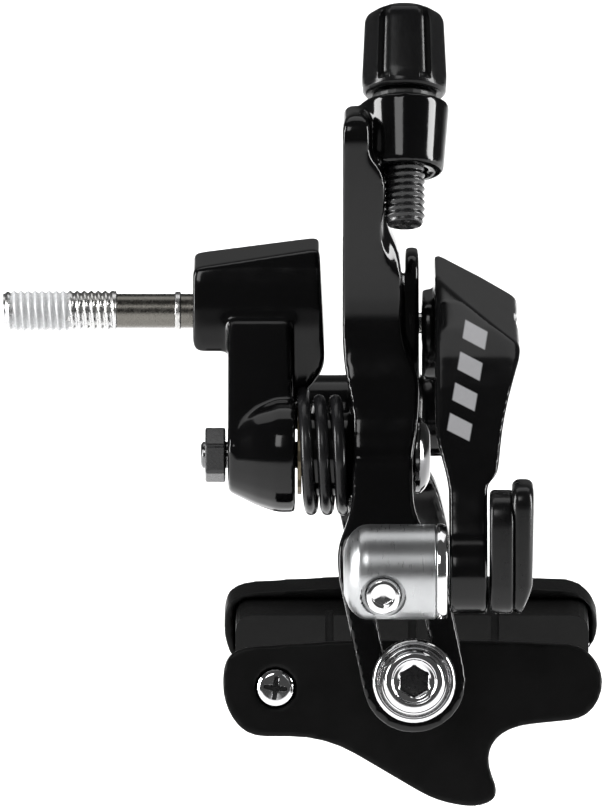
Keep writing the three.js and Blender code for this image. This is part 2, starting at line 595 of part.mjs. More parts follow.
function makeAdjuster() {
  const tail = -BARREL_BOSS_LENGTH / 2 - BARREL_TAIL;
  const top = KNOB_FOOT + KNOB_LENGTH - BARREL_TRAVEL - 1.6;
  const bolt = solid(turned([
    [BARREL_RADIUS - 0.5, tail], [BARREL_RADIUS, tail + 0.6], [BARREL_RADIUS, top],
  ], barrelCentre, barrelAxis, 16))
    .subtract(solid(bar(HOUSING_RADIUS, 2, top + 1, barrelCentre, barrelAxis, 16)))
    .subtract(solid(bar(CABLE_RADIUS, tail - 1, 3, barrelCentre, barrelAxis, 16)));
  add("adjuster_bolt", bolt, "blackSteel");
  add("adjuster_detent_ring", ring(
    DETENT_RADIUS, BARREL_BORE, DETENT_FOOT, KNOB_FOOT - GAP, barrelCentre, barrelAxis), "nylon");
  const knobTop = KNOB_FOOT + KNOB_LENGTH;
  let knob = solid(turned([
    [KNOB_RADIUS - 0.4, KNOB_FOOT], [KNOB_RADIUS, KNOB_FOOT + 0.8],
    [KNOB_RADIUS - 0.3, KNOB_FOOT + 3], [KNOB_RADIUS - 0.9, knobTop - 2.2],
    [KNOB_RADIUS - 1.7, knobTop - 0.7], [KNOB_RADIUS - 2.4, knobTop],
  ], barrelCentre, barrelAxis, 36));
  for (let i = 0; i < KNOB_LOBES; i++) {
    const spoke = AXIS_X.clone()
      .applyAxisAngle(barrelAxis, (2 * Math.PI * i) / KNOB_LOBES)
      .multiplyScalar(KNOB_RADIUS + 0.4);
    const at = barrelCentre.clone().add(spoke);
    const groove = bar(KNOB_GROOVE_RADIUS, KNOB_FOOT + 3, THROUGH, at, barrelAxis, 12);
    knob = knob.subtract(solid(groove));
  }
  const roof = knobTop - 0.9;
  knob = knob
    .subtract(solid(bar(BARREL_BORE, 0, roof, barrelCentre, barrelAxis, 16)))
    .subtract(solid(bar(HOUSING_RADIUS + GAP, roof - 1, THROUGH, barrelCentre, barrelAxis, 16)));
  add("adjuster_knob", knob, "plastic");
}

// ---------------------------------------------------------------- quick release
const eccentricPoint = releasePoint.clone().add(new THREE.Vector3(0, 0, RELEASE_THROW));
const CLAMP_FRONT = RELEASE_BOSS_BACK - GAP;
const CLAMP_BACK = CLAMP_FRONT - CLAMP_LENGTH;
const PLATE_BACK = RELEASE_BOSS_FRONT + GAP;
const PLATE_FRONT = PLATE_BACK + LEVER_PLATE;

function makeQuickRelease() {
  const journalBack = RELEASE_BOSS_BACK - GAP / 2;
  const pin = bar(RELEASE_PIN_RADIUS, CLAMP_BACK + 3, journalBack, eccentricPoint, AXIS_X);
  const journal = bar(RELEASE_JOURNAL_RADIUS, journalBack, PLATE_BACK, releasePoint, AXIS_X);
  const shaft = solid(pin).add(solid(journal));
  const [outer, inner] = [RELEASE_U + LEVER_HALF_WIDTH, RELEASE_U - LEVER_HALF_WIDTH];
  const [foot, leverTop] = [RELEASE_Z - LEVER_DOWN, RELEASE_Z + LEVER_UP];
  const inset = 0.4;
  const plate = solid(prismX(frontShape([
    [outer, foot, 4], [outer, RELEASE_Z + PLATE_UP, 4],
    [inner, RELEASE_Z + PLATE_UP, 4], [inner, foot, 4],
  ]), PLATE_BACK, PLATE_FRONT));
  const lever = solid(prismX(frontShape([
    [outer - inset, foot, 4], [outer - inset, leverTop, 3.5],
    [inner + inset, leverTop, 3.5], [inner + inset, foot, 4],
  ]), PLATE_FRONT - 0.5, PLATE_FRONT + LEVER_THICKNESS));
  const taper = solid(prismY(roundedShape([
    [PLATE_BACK, foot - 1, 0], [PLATE_BACK, leverTop + 1, 0],
    [PLATE_FRONT + LEVER_THICKNESS, leverTop + 1, 0],
    [PLATE_FRONT + LEVER_THICKNESS - 0.7, RELEASE_Z - 2, 3],
    [PLATE_FRONT, foot - 1, 0],
  ]), -THROUGH, THROUGH));
  add("qr_lever", shaft.add(plate).add(lever.intersect(taper)), "paint");

  const clamp = solid(turned([
    [CLAMP_RADIUS - 3.2, CLAMP_BACK], [CLAMP_RADIUS - 1.6, CLAMP_BACK + 0.7],
    [CLAMP_RADIUS - 0.2, CLAMP_BACK + 2], [CLAMP_RADIUS, CLAMP_BACK + 2.6],
    [CLAMP_RADIUS, CLAMP_FRONT - 0.6], [CLAMP_RADIUS - 0.6, CLAMP_FRONT],
  ], releasePoint, AXIS_X));
  const screwAxis = new THREE.Vector3(0, -1, 0);
  const screwFoot = 2.5;
  const headTop = CLAMP_RADIUS - 1.1;
  const screwAt = new THREE.Vector3(CLAMP_SCREW_X, -RELEASE_U, RELEASE_Z - CLAMP_SCREW_DROP);
  const pinBore = bar(
    RELEASE_PIN_RADIUS + GAP, CLAMP_BACK + 2.6, CLAMP_FRONT + 1, eccentricPoint, AXIS_X, 16);
  const cable = new THREE.Vector3(BARREL_X, -RELEASE_U - CABLE_OFFSET, RELEASE_Z);
  const clampBody = clamp.subtract(solid(pinBore))
    .subtract(solid(bar(CLAMP_SCREW_RADIUS + 0.55, screwFoot - GAP, THROUGH, screwAt, screwAxis, 16)))
    .subtract(solid(bar(CABLE_RADIUS, -THROUGH, THROUGH, cable, new THREE.Vector3(0, 0, 1), 12)));
  add("cable_clamp_barrel", clampBody, "aluminium");
  const screw = solid(turned([
    [CLAMP_SCREW_RADIUS, screwFoot], [CLAMP_SCREW_RADIUS, headTop - 0.5],
    [CLAMP_SCREW_RADIUS - 0.5, headTop],
  ], screwAt, screwAxis, 16))
    .subtract(solid(hexBar(CLAMP_SCREW_KEY, headTop - 1.8, THROUGH, screwAt, screwAxis)));
  add("cable_clamp_screw", screw, "chrome");
}

// ---------------------------------------------------------------- brake shoes
const WASHER_U = LEG_OUTER_U + GAP;
const HEAD_U = WASHER_U + DISH_THICKNESS + GAP;
const SPACER_OUTER_U = LEG_INNER_U - GAP;
const SPACER_INNER_U = SHOE_BACK_U + GAP;

/** Holder outline as [x from the pad bolt, z from the pad bolt, setback]. */
const holderCorners = [
  [-27.2, -3, 3], [-26.9, 3, 2.5], [-24.5, 4.6, 2], [-9, 5.6, 3], [11, 5.6, 3], [24.5, 5, 3],
  [27.4, 0, 4], [25, -5.4, 3], [13, -6.6, 4], [10, -10.5, 3], [12.2, -16.6, 2], [9, -18.1, 2],
  [3.2, -17.2, 3], [-12.5, -8, 5], [-24, -8, 3],
];
/** Pad outline, which the holder's pocket repeats with clearance. */
const PAD_HALF_LENGTH = 25.4;
const PAD_TOP = 3.6;
const PAD_FOOT = -4.6;

function padShape(grow) {
  const x = PAD_HALF_LENGTH + grow;
  return roundedShape([
    [LEG_CENTRE_X - x, -REACH + PAD_FOOT - grow, 2.5], [LEG_CENTRE_X - x, -REACH + PAD_TOP + grow, 2.5],
    [LEG_CENTRE_X + x, -REACH + PAD_TOP + grow, 2.5], [LEG_CENTRE_X + x, -REACH + PAD_FOOT - grow, 2.5],
  ]);
}

/** A shape of (x, z) extruded between two u values on one side. */
function slab(shape, fromU, toU, side) {
  const [low, high] = side === NEAR ? [-toU, -fromU] : [fromU, toU];
  return prismY(shape, low, high);
}

function makeShoe(side, label) {
  const hinge = new THREE.Group();
  hinge.position.copy(pivotPoint(side));
  hinge.rotation.x = side * ARM_OPENING;
  const arm = new THREE.Group();
  arm.position.copy(pivotPoint(side)).negate();
  hinge.add(arm);
  group.add(hinge);

  const outward = new THREE.Vector3(0, side, 0);
  const boltAt = new THREE.Vector3(LEG_CENTRE_X, 0, -REACH);
  const screwAt = new THREE.Vector3(
    LEG_CENTRE_X - PAD_SCREW_BACK, 0, -REACH - PAD_SCREW_DROP);
  const pocketU = SHOE_BACK_U - HOLDER_WALL;
  const mouthU = pocketU - PAD_POCKET;
  const outline = holderCorners.map(([x, z, r]) => [LEG_CENTRE_X + x, -REACH + z, r]);
  const boltBore = PAD_BOLT_RADIUS + GAP;
  const screwBore = PAD_SCREW_RADIUS + GAP;
  const screwHead = screwBore + PAD_SCREW_FLANGE;
  const holder = solid(slab(roundedShape(outline), mouthU, SHOE_BACK_U, side))
    .subtract(solid(slab(padShape(GAP), mouthU - 1, pocketU, side)))
    .subtract(solid(bar(boltBore, mouthU - 1, SHOE_BACK_U + 1, boltAt, outward, 16)))
    .subtract(solid(bar(screwBore, mouthU - 1, SHOE_BACK_U + 1, screwAt, outward, 16)))
    .subtract(solid(bar(screwHead, SHOE_BACK_U - 1.1, SHOE_BACK_U + 1, screwAt, outward, 16)));
  add(`${label}_shoe_holder`, holder, "matte", arm);

  const padBack = pocketU - GAP;
  let pad = solid(slab(padShape(0), PAD_FACE_U, padBack, side));
  for (const step of [-1, 0, 1]) {
    const middle = LEG_CENTRE_X + step * PAD_GROOVE_GAP;
    const [back, front] = [middle - PAD_GROOVE_HALF, middle + PAD_GROOVE_HALF];
    const cut = roundedShape([
      [back, -THROUGH], [back, 0], [front, 0], [front, -THROUGH],
    ]);
    pad = pad.subtract(solid(slab(cut, PAD_FACE_U - 1, PAD_FACE_U + PAD_GROOVE_DEPTH, side)));
  }
  const boltTip = pocketU + 0.2;
  const screwTip = padBack - 2.6;
  const screwTop = SHOE_BACK_U + 0.4;
  pad = pad.subtract(solid(bar(screwBore, screwTip - GAP, padBack + 1, screwAt, outward, 16)));
  add(`${label}_brake_pad`, pad, "rubber", arm);

  const screw = turned([
    [PAD_SCREW_RADIUS, screwTip], [PAD_SCREW_RADIUS, SHOE_BACK_U - 0.8],
    [PAD_SCREW_RADIUS + PAD_SCREW_FLANGE, SHOE_BACK_U - 0.8],
    [PAD_SCREW_RADIUS + PAD_SCREW_FLANGE, SHOE_BACK_U],
    [PAD_SCREW_RADIUS + 0.5, screwTop],
  ], screwAt, outward, 16);
  let screwBody = solid(screw);
  for (const [wide, tall] of [[1.5, 0.35], [0.35, 1.5]]) {
    const cross = roundedShape([
      [screwAt.x - wide, screwAt.z - tall], [screwAt.x - wide, screwAt.z + tall],
      [screwAt.x + wide, screwAt.z + tall], [screwAt.x + wide, screwAt.z - tall],
    ]);
    screwBody = screwBody.subtract(solid(slab(cross, screwTop - 0.9, screwTop + 1, side)));
  }
  add(`${label}_pad_screw`, screwBody, "chrome", arm);

  const headTop = HEAD_U + PAD_BOLT_HEAD_HEIGHT;
  const bolt = solid(turned([
    [PAD_BOLT_RADIUS, boltTip], [PAD_BOLT_RADIUS, HEAD_U], [PAD_BOLT_HEAD_RADIUS, HEAD_U],
    [PAD_BOLT_HEAD_RADIUS, headTop - 0.6], [PAD_BOLT_HEAD_RADIUS - 0.6, headTop],
  ], boltAt, outward))
    .subtract(solid(hexBar(PAD_BOLT_KEY, headTop - 2.6, THROUGH, boltAt, outward)));
  add(`${label}_pad_bolt`, bolt, "chrome", arm);
  const dish = ring(DISH_RADIUS, boltBore, WASHER_U, WASHER_U + DISH_THICKNESS, boltAt, outward);
  add(`${label}_dish_washer`, dish, "chrome", arm);
  const middle = (SPACER_INNER_U + SPACER_OUTER_U) / 2;
  const convex = ring(DISH_RADIUS - 0.4, boltBore, SPACER_INNER_U, middle - GAP / 2, boltAt, outward);
  add(`${label}_convex_spacer`, convex, "steel", arm);
  const concave = ring(DISH_RADIUS, boltBore, middle + GAP / 2, SPACER_OUTER_U, boltAt, outward);
  add(`${label}_concave_spacer`, concave, "steel", arm);
}

// ---------------------------------------------------------------- assembly
add("mounting_stud", makeStud(), "steel");
add("bracket", makeBracket(), "paint");
makePivot(NEAR, "near");
makePivot(FAR, "far");
add("adjuster_arm", makeAdjusterArm(), "paint");
add("anchor_arm", makeAnchorArm(), "paint");
makeLink();
add("return_spring", makeSpring(), "blackSteel");
makeAdjuster();
makeQuickRelease();
makeShoe(NEAR, "near");
makeShoe(FAR, "far");

export default group;
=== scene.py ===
"""Rim brake caliper: the visual model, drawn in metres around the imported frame.

+X points to the front of the bicycle, +Y away from the cable adjuster side and +Z up.
Castings carry over from the frame and get their rounded cast edges from modifiers.
Threads, bolts, knob, spring and clamp are surfaces worked out with numpy.
"""
import json
import logging
import math
from dataclasses import dataclass
from enum import Enum

import bpy
import numpy as np
from numpy.typing import NDArray
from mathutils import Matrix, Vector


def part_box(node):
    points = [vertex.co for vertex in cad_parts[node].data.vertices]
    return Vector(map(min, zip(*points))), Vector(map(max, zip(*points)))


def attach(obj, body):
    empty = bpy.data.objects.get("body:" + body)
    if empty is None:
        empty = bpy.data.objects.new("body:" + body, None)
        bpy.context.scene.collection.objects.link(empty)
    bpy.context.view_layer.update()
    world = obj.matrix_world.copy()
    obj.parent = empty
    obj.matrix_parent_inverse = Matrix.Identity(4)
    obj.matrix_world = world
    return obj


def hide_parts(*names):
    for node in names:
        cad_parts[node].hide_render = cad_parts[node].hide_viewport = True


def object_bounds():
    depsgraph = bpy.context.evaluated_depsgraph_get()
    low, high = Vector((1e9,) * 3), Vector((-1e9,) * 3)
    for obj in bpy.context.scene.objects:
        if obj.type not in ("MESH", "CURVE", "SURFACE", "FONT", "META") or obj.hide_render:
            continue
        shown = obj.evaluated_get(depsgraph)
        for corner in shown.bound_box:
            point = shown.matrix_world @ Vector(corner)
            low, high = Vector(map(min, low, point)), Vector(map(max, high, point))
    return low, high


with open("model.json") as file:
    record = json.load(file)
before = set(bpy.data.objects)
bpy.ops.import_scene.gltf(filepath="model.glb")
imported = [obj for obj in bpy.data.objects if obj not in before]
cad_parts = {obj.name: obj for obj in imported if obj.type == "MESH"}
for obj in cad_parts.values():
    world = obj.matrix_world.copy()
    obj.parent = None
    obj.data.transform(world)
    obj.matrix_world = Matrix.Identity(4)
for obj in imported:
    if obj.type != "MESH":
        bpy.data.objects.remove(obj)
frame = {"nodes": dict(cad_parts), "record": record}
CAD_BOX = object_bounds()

Array = NDArray[np.float64]
LOG = logging.getLogger("caliper")
MM = 0.001
SETBACK_SHARE = 0.45
X_AXIS = np.array([1.0, 0.0, 0.0])
Y_AXIS = np.array([0.0, 1.0, 0.0])
Z_AXIS = np.array([0.0, 0.0, 1.0])


# ------------------------------------------------------------------ places from the frame
def low(node: str) -> Array:
    """Lowest corner of a CAD node, in metres."""
    return np.array(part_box(node)[0], dtype=float)


def high(node: str) -> Array:
    """Highest corner of a CAD node, in metres."""
    return np.array(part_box(node)[1], dtype=float)


def middle(node: str) -> Array:
    """Centre of a CAD node's box, in metres."""
    return (low(node) + high(node)) / 2


def joint(name: str) -> dict:
    """The record's entry for a joint.

    Args:
        name: The joint's name.

    Returns:
        Its type, axis, position and range.
    """
    for entry in frame["record"]["behaviour"]["joints"]:
        if entry["name"] == name:
            return entry
    raise KeyError(name)


class Side(Enum):
    """The two arms: the adjuster side is near, the other is far."""

    NEAR = "near"
    FAR = "far"


@dataclass(frozen=True)
class Line:
    """A straight axis that a turned piece is drawn round.

    Attributes:
        start: A point on the axis, in metres.
        along: The axis direction.
        across: A direction that angle zero points to.
    """

    start: Array
    along: Array
    across: Array

    @staticmethod
    def through(start: Array, along: Array, hint: Array = np.array([1.0, 0.0, 0.0])) -> "Line":
        """Makes a line with unit directions at right angles.

        Args:
            start: A point on the axis.
            along: The axis direction, of any length.
            hint: Roughly where angle zero should point.

        Returns:
            The line.
        """
        unit = along / np.linalg.norm(along)
        side = hint - unit * np.dot(hint, unit)
        return Line(start, unit, side / np.linalg.norm(side))

    def place(self, radius: Array, angle: Array, distance: Array) -> Array:
        """Cylinder coordinates about the line become points.

        Args:
            radius: Distances from the axis.
            angle: Angles from the across direction, right-handed about the axis.
            distance: Distances along the axis from its start.

        Returns:
            Points with a last axis of three.
        """
        third = np.cross(self.along, self.across)
        return (self.start
                + distance[..., None] * self.along
                + (radius * np.cos(angle))[..., None] * self.across
                + (radius * np.sin(angle))[..., None] * third)


# ------------------------------------------------------------------ mesh making
class Ends(Enum):
    """What happens to the first and last rows of a grid."""

    CAPPED = "capped"
    JOINED = "joined"


def grid_mesh(name: str, points: Array, ends: Ends = Ends.CAPPED,
              crease: float = 40.0) -> bpy.types.Object:
    """Makes a closed mesh from a grid of points.

    Rows follow the profile and columns go once round it, so the last column joins the first.
    Capped ends are fans to each end row's mean point. Joined ends make a ring.

    Args:
        name: The piece's name.
        points: Points in metres, shaped (rows, columns, 3).
        ends: Whether the end rows are capped or joined to each other.
        crease: Edges sharper than this many degrees stay sharp.

    Returns:
        The new object, with its normals outwards.
    """
    rows, columns, _ = points.shape
    bands = rows if ends is Ends.JOINED else rows - 1
    row = np.arange(bands)[:, None]
    below = (row + 1) % rows
    column = np.arange(columns)[None, :]
    after = (column + 1) % columns
    quads = np.stack([row * columns + column, row * columns + after,
                      below * columns + after, below * columns + column], axis=-1)
    faces = quads.reshape(-1, 4).tolist()
    vertices = points.reshape(-1, 3)
    if ends is Ends.CAPPED:
        tips = np.stack([points[0].mean(axis=0), points[-1].mean(axis=0)])
        vertices = np.concatenate([vertices, tips])
        ring = np.arange(columns)
        nxt = (ring + 1) % columns
        top = (rows - 1) * columns
        first, last = rows * columns, rows * columns + 1
        faces += np.stack([np.full(columns, first), nxt, ring], axis=1).tolist()
        faces += np.stack([np.full(columns, last), top + ring, top + nxt], axis=1).tolist()
    corners = points[:-1, :, :], points[1:, :, :]
    flux = np.cross(corners[0], np.roll(corners[0], -1, axis=1))
    inside_out = float(np.sum(flux * corners[1])) > 0
    if inside_out:
        faces = [face[::-1] for face in faces]
    mesh = bpy.data.meshes.new(name)
    mesh.from_pydata(vertices.tolist(), [], faces)
    mesh.update()
    mesh.shade_smooth()
    mesh.set_sharp_from_angle(angle=math.radians(crease))
    piece = bpy.data.objects.new(name, mesh)
    bpy.context.scene.collection.objects.link(piece)
    return piece


@dataclass(frozen=True)
class Corner:
    """A corner of a turned profile, in millimetres.

    Attributes:
        radius: Distance from the axis, or a polygon's inner radius.
        along: Distance along the axis.
        setback: Where its rounding starts.
        sides: Sides of the polygon that the ring becomes, or 0 for a circle.
    """

    radius: float
    along: float
    setback: float = 0.12
    sides: int = 0


def rounded_rows(corners: list[Corner], arc: int = 4) -> tuple[Array, Array]:
    """Rounds a profile's corners with the curve (1-t)^2 a + 2t(1-t) b + t^2 c.

    Args:
        corners: The profile from one end to the other.
        arc: Points on each rounding.

    Returns:
        Rows of radius and distance in metres, and each row's polygon sides.
    """
    place = np.array([(c.radius, c.along) for c in corners])
    rows, sides = [place[0]], [corners[0].sides]
    t = np.linspace(0.0, 1.0, arc)[:, None]
    for corner, before, here, after in zip(corners[1:-1], place[:-2], place[1:-1], place[2:]):
        into, out = before - here, after - here
        shorter = min(float(np.linalg.norm(into)), float(np.linalg.norm(out)))
        reach = min(corner.setback, SETBACK_SHARE * shorter)
        a = here + into / np.linalg.norm(into) * reach
        c = here + out / np.linalg.norm(out) * reach
        rows.extend((1 - t) ** 2 * a + 2 * t * (1 - t) * here + t ** 2 * c)
        sides.extend([corner.sides] * arc)
    rows.append(place[-1])
    sides.append(corners[-1].sides)
    return np.array(rows) * MM, np.array(sides, dtype=float)


def finer_rows(rows: Array, step: float) -> Array:
    """Adds rows to a profile until neighbours are about a step apart.

    Args:
        rows: Radius and distance of each row in metres.
        step: Longest distance between rows in metres.

    Returns:
        The rows with the new ones between them.
    """
    keep = [rows[0]]
    for before, after in zip(rows[:-1], rows[1:]):
        count = max(1, int(np.linalg.norm(after - before) / step))
        keep.extend(before + (after - before) * (k + 1) / count for k in range(count))
    return np.array(keep)


def turned(name: str, line: Line, corners: list[Corner], columns: int = 96,
           ends: Ends = Ends.CAPPED) -> bpy.types.Object:
    """Revolves a profile about a line, with polygon rings for sockets and hexagons.

    On a ring with n sides the radius at angle a is r / cos(((a + pi/n) mod 2 pi/n) - pi/n),
    which is the polygon whose inner radius is r.

    Args:
        name: The piece's name.
        line: The axis.
        corners: The profile, from the piece's foot outwards.
        columns: Points round the axis.
        ends: Capped for a bar, joined for a ring.

    Returns:
        The new object.
    """
    rows, sides = rounded_rows(corners)
    if ends is Ends.JOINED:
        rows, sides = rows[:-1], sides[:-1]
    angle = np.linspace(0.0, 2 * math.pi, columns, endpoint=False)[None, :]
    count = np.where(sides > 0, sides, 1.0)[:, None]
    wedge = math.pi / count
    stretch = np.where(sides[:, None] > 0, 1.0 / np.cos((angle + wedge) % (2 * wedge) - wedge), 1.0)
    radius = rows[:, 0:1] * stretch
    distance = np.broadcast_to(rows[:, 1:2], radius.shape)
    return grid_mesh(name, line.place(radius, np.broadcast_to(angle, radius.shape), distance), ends)


def threaded(name: str, line: Line, spans: list[tuple[float, float, float]], pitch: float,
             depth: float, columns: int = 48) -> bpy.types.Object:
    """Draws a bar with a helical thread on some of its length.

    The radius is R - d * |2 frac(x/p - a/2pi) - 1|, where d is the span's thread depth.

    Args:
        name: The piece's name.
        line: The axis.
        spans: Start, radius and threaded share (0 or 1) of each span, and the end, in millimetres.
        pitch: Thread pitch in millimetres.
        depth: Thread depth in millimetres.
        columns: Points round the axis.

    Returns:
        The new object.
    """
    starts = np.array([span[0] for span in spans])
    length = np.arange(starts[0], starts[-1] + 1e-6, pitch / 8)
    which = np.clip(np.searchsorted(starts, length, side="right") - 1, 0, len(spans) - 2)
    outer = np.array([span[1] for span in spans])[which]
    share = np.array([span[2] for span in spans])[which]
    fade = np.clip(np.minimum(length - starts[which], starts[which + 1] - length) / (0.7 * pitch), 0, 1)
    angle = np.linspace(0.0, 2 * math.pi, columns, endpoint=False)[None, :]
    turn = (length[:, None] / pitch - angle / (2 * math.pi)) % 1.0
    radius = outer[:, None] - depth * (share * fade)[:, None] * np.abs(2 * turn - 1)
    tip = np.clip((length - length[0]) / 0.8, 0, 1)[:, None]
    radius = radius * (0.82 + 0.18 * tip)
    distance = np.broadcast_to(length[:, None] * MM, radius.shape)
    return grid_mesh(name, line.place(radius * MM, np.broadcast_to(angle, radius.shape), distance),
                     crease=75.0)


def tube(name: str, path: Array, radius: float, columns: int = 20) -> bpy.types.Object:
    """Carries a circle along a path: path + radius * (cos a * n + sin a * b).

    n is the X direction made square to the path, and b completes the frame.

    Args:
        name: The piece's name.
        path: Points in metres, shaped (rows, 3).
        radius: Wire radius in metres.
        columns: Points round the wire.

    Returns:
        The new object.
    """
    heading = np.gradient(path, axis=0)
    heading /= np.linalg.norm(heading, axis=1, keepdims=True)
    guide = np.array([1.0, 0.0, 0.0])
    normal = guide - heading * (heading @ guide)[:, None]
    normal /= np.linalg.norm(normal, axis=1, keepdims=True)
    side = np.cross(heading, normal)
    angle = np.linspace(0.0, 2 * math.pi, columns, endpoint=False)[None, :, None]
    ring = np.cos(angle) * normal[:, None] + np.sin(angle) * side[:, None]
    return grid_mesh(name, path[:, None] + radius * ring, crease=60.0)


def pillow(name: str, outline: Array, back: float, front: float, edge: float) -> bpy.types.Object:
    """Makes a plate along X whose outline pulls in by a quarter circle at both faces.

    The inset at angle t of the edge is e (1 - cos t), with the face e (1 - sin t) further out.

    Args:
        name: The piece's name.
        outline: Points of (y, z) in metres, once round.
        back: Rear face along X, in metres.
        front: Front face along X, in metres.
        edge: Edge radius in metres.

    Returns:
        The new object.
    """
    ahead = np.roll(outline, -1, axis=0) - np.roll(outline, 1, axis=0)
    ahead /= np.linalg.norm(ahead, axis=1, keepdims=True)
    outward = np.stack([ahead[:, 1], -ahead[:, 0]], axis=1)
    if np.sum(outward * (outline - outline.mean(axis=0))) < 0:
        outward = -outward
    t = np.linspace(0.0, math.pi / 2, 6)
    inset = np.concatenate([edge * (1 - np.sin(t)), edge * (1 - np.cos(t))])
    along = np.concatenate([back + edge * (1 - np.cos(t)), front - edge * (1 - np.sin(t))])
    flat = outline[None] - inset[:, None, None] * outward[None]
    x = np.broadcast_to(along[:, None, None], (len(along), len(outline), 1))
    return grid_mesh(name, np.concatenate([x, flat], axis=2))


def rounded_outline(corners: list[tuple[float, float, float]], arc: int = 10) -> Array:
    """Rounds a closed outline's corners with quadratic curves.

    Args:
        corners: Two coordinates and a setback for each corner, in millimetres.
        arc: Points on each rounding.

    Returns:
        Points in metres, once round.
    """
    place = np.array([(a, b) for a, b, _ in corners])
    t = np.linspace(0.0, 1.0, arc)[:, None]
    rows = []
    for (_, _, setback), before, here, after in zip(
            corners, np.roll(place, 1, axis=0), place, np.roll(place, -1, axis=0)):
        into, out = before - here, after - here
        a = here + into * min(0.5, setback / float(np.linalg.norm(into)))
        c = here + out * min(0.5, setback / float(np.linalg.norm(out)))
        rows.append((1 - t) ** 2 * a + 2 * t * (1 - t) * here + t ** 2 * c)
    return np.concatenate(rows) * MM


# ------------------------------------------------------------------ finishes
class Graph:
    """Short spelling for building a material's nodes."""

    def __init__(self, name: str) -> None:
        """Starts an empty material with a Principled shader."""
        self.material = bpy.data.materials.new(name)
        self.material.use_nodes = True
        self.nodes = self.material.node_tree.nodes
        self.links = self.material.node_tree.links
        self.nodes.clear()
        self.shader = self.nodes.new("ShaderNodeBsdfPrincipled")
        output = self.nodes.new("ShaderNodeOutputMaterial")
        self.links.new(self.shader.outputs["BSDF"], output.inputs["Surface"])
        self.place = self.nodes.new("ShaderNodeTexCoord").outputs["Object"]

    def set(self, **values: float | tuple) -> None:
        """Sets shader sockets, with underscores for spaces in their names."""
        for key, value in values.items():
            self.shader.inputs[key.replace("_", " ")].default_value = value

    def noise(self, scale: float, detail: float = 3.0, stretch: tuple = (1, 1, 1),
              place: bpy.types.NodeSocket | None = None) -> bpy.types.NodeSocket:
        """Adds a noise texture in object space.

        Args:
            scale: Features per metre.
            detail: Octaves.
            stretch: Scale along each axis before the noise.
            place: Coordinates to use in place of the object's.

        Returns:
            The noise's factor socket.
        """
        mapping = self.nodes.new("ShaderNodeMapping")
        mapping.inputs["Scale"].default_value = stretch
        self.links.new(place or self.place, mapping.inputs["Vector"])
        texture = self.nodes.new("ShaderNodeTexNoise")
        texture.inputs["Scale"].default_value = scale
        texture.inputs["Detail"].default_value = detail
        self.links.new(mapping.outputs["Vector"], texture.inputs["Vector"])
        return texture.outputs["Fac"]

    def remap(self, value: bpy.types.NodeSocket, start: tuple, end: tuple) -> bpy.types.NodeSocket:
        """Maps a value from one range to another.

        Args:
            value: The socket to map.
            start: Its low and high values.
            end: The values that they become.

        Returns:
            The mapped socket.
        """
        node = self.nodes.new("ShaderNodeMapRange")
        for socket, number in zip(("From Min", "From Max", "To Min", "To Max"), (*start, *end)):
            node.inputs[socket].default_value = number
        self.links.new(value, node.inputs["Value"])
        return node.outputs["Result"]

    def math(self, operation: str, first: bpy.types.NodeSocket,
             second: bpy.types.NodeSocket | float) -> bpy.types.NodeSocket:
        """Adds a Math node and returns its value."""
        node = self.nodes.new("ShaderNodeMath")
        node.operation = operation
        self.links.new(first, node.inputs[0])
        if isinstance(second, float):
            node.inputs[1].default_value = second
        else:
            self.links.new(second, node.inputs[1])
        return node.outputs["Value"]

    def mix(self, factor: bpy.types.NodeSocket, under: bpy.types.NodeSocket,
            over: tuple[float, float, float]) -> bpy.types.NodeSocket:
        """Lays a plain colour over another colour by a factor and returns the result."""
        node = self.nodes.new("ShaderNodeMix")
        node.data_type = "RGBA"
        self.links.new(factor, node.inputs["Factor"])
        self.links.new(under, node.inputs[6])
        node.inputs[7].default_value = (*over, 1)
        return node.outputs[2]

    def split(self) -> tuple[bpy.types.NodeSocket, ...]:
        """Gives the x, y and z of the place on the piece."""
        node = self.nodes.new("ShaderNodeSeparateXYZ")
        self.links.new(self.place, node.inputs["Vector"])
        return tuple(node.outputs[axis] for axis in "XYZ")

    def base(self) -> bpy.types.NodeSocket:
        """The colour that the shader has so far."""
        return self.shader.inputs["Base Color"].links[0].from_socket

    def window(self, value: bpy.types.NodeSocket, start: float, end: float,
               edge: float) -> bpy.types.NodeSocket:
        """Gives 1 between two values and 0 outside, with soft edges of a width."""
        rise = self.remap(value, (start - edge, start + edge), (0, 1))
        fall = self.remap(value, (end - edge, end + edge), (1, 0))
        return self.math("MULTIPLY", rise, fall)

    def blend(self, factor: bpy.types.NodeSocket, first: tuple, second: tuple) -> bpy.types.NodeSocket:
        """Mixes two colours by a factor and returns the colour socket."""
        node = self.nodes.new("ShaderNodeMix")
        node.data_type = "RGBA"
        self.links.new(factor, node.inputs["Factor"])
        node.inputs[6].default_value = (*first, 1)
        node.inputs[7].default_value = (*second, 1)
        return node.outputs[2]

    def bump(self, height: bpy.types.NodeSocket, depth: float, strength: float = 1.0) -> None:
        """Feeds a height to the shader's normal.

        Args:
            height: Height from 0 to 1.
            depth: The height of 1, in metres.
            strength: How much of it shows.
        """
        node = self.nodes.new("ShaderNodeBump")
        node.inputs["Distance"].default_value = depth
        node.inputs["Strength"].default_value = strength
        self.links.new(height, node.inputs["Height"])
        self.links.new(node.outputs["Normal"], self.shader.inputs["Normal"])

    def feed(self, socket: str, value: bpy.types.NodeSocket) -> None:
        """Links a value to one of the shader's sockets."""
        self.links.new(value, self.shader.inputs[socket])


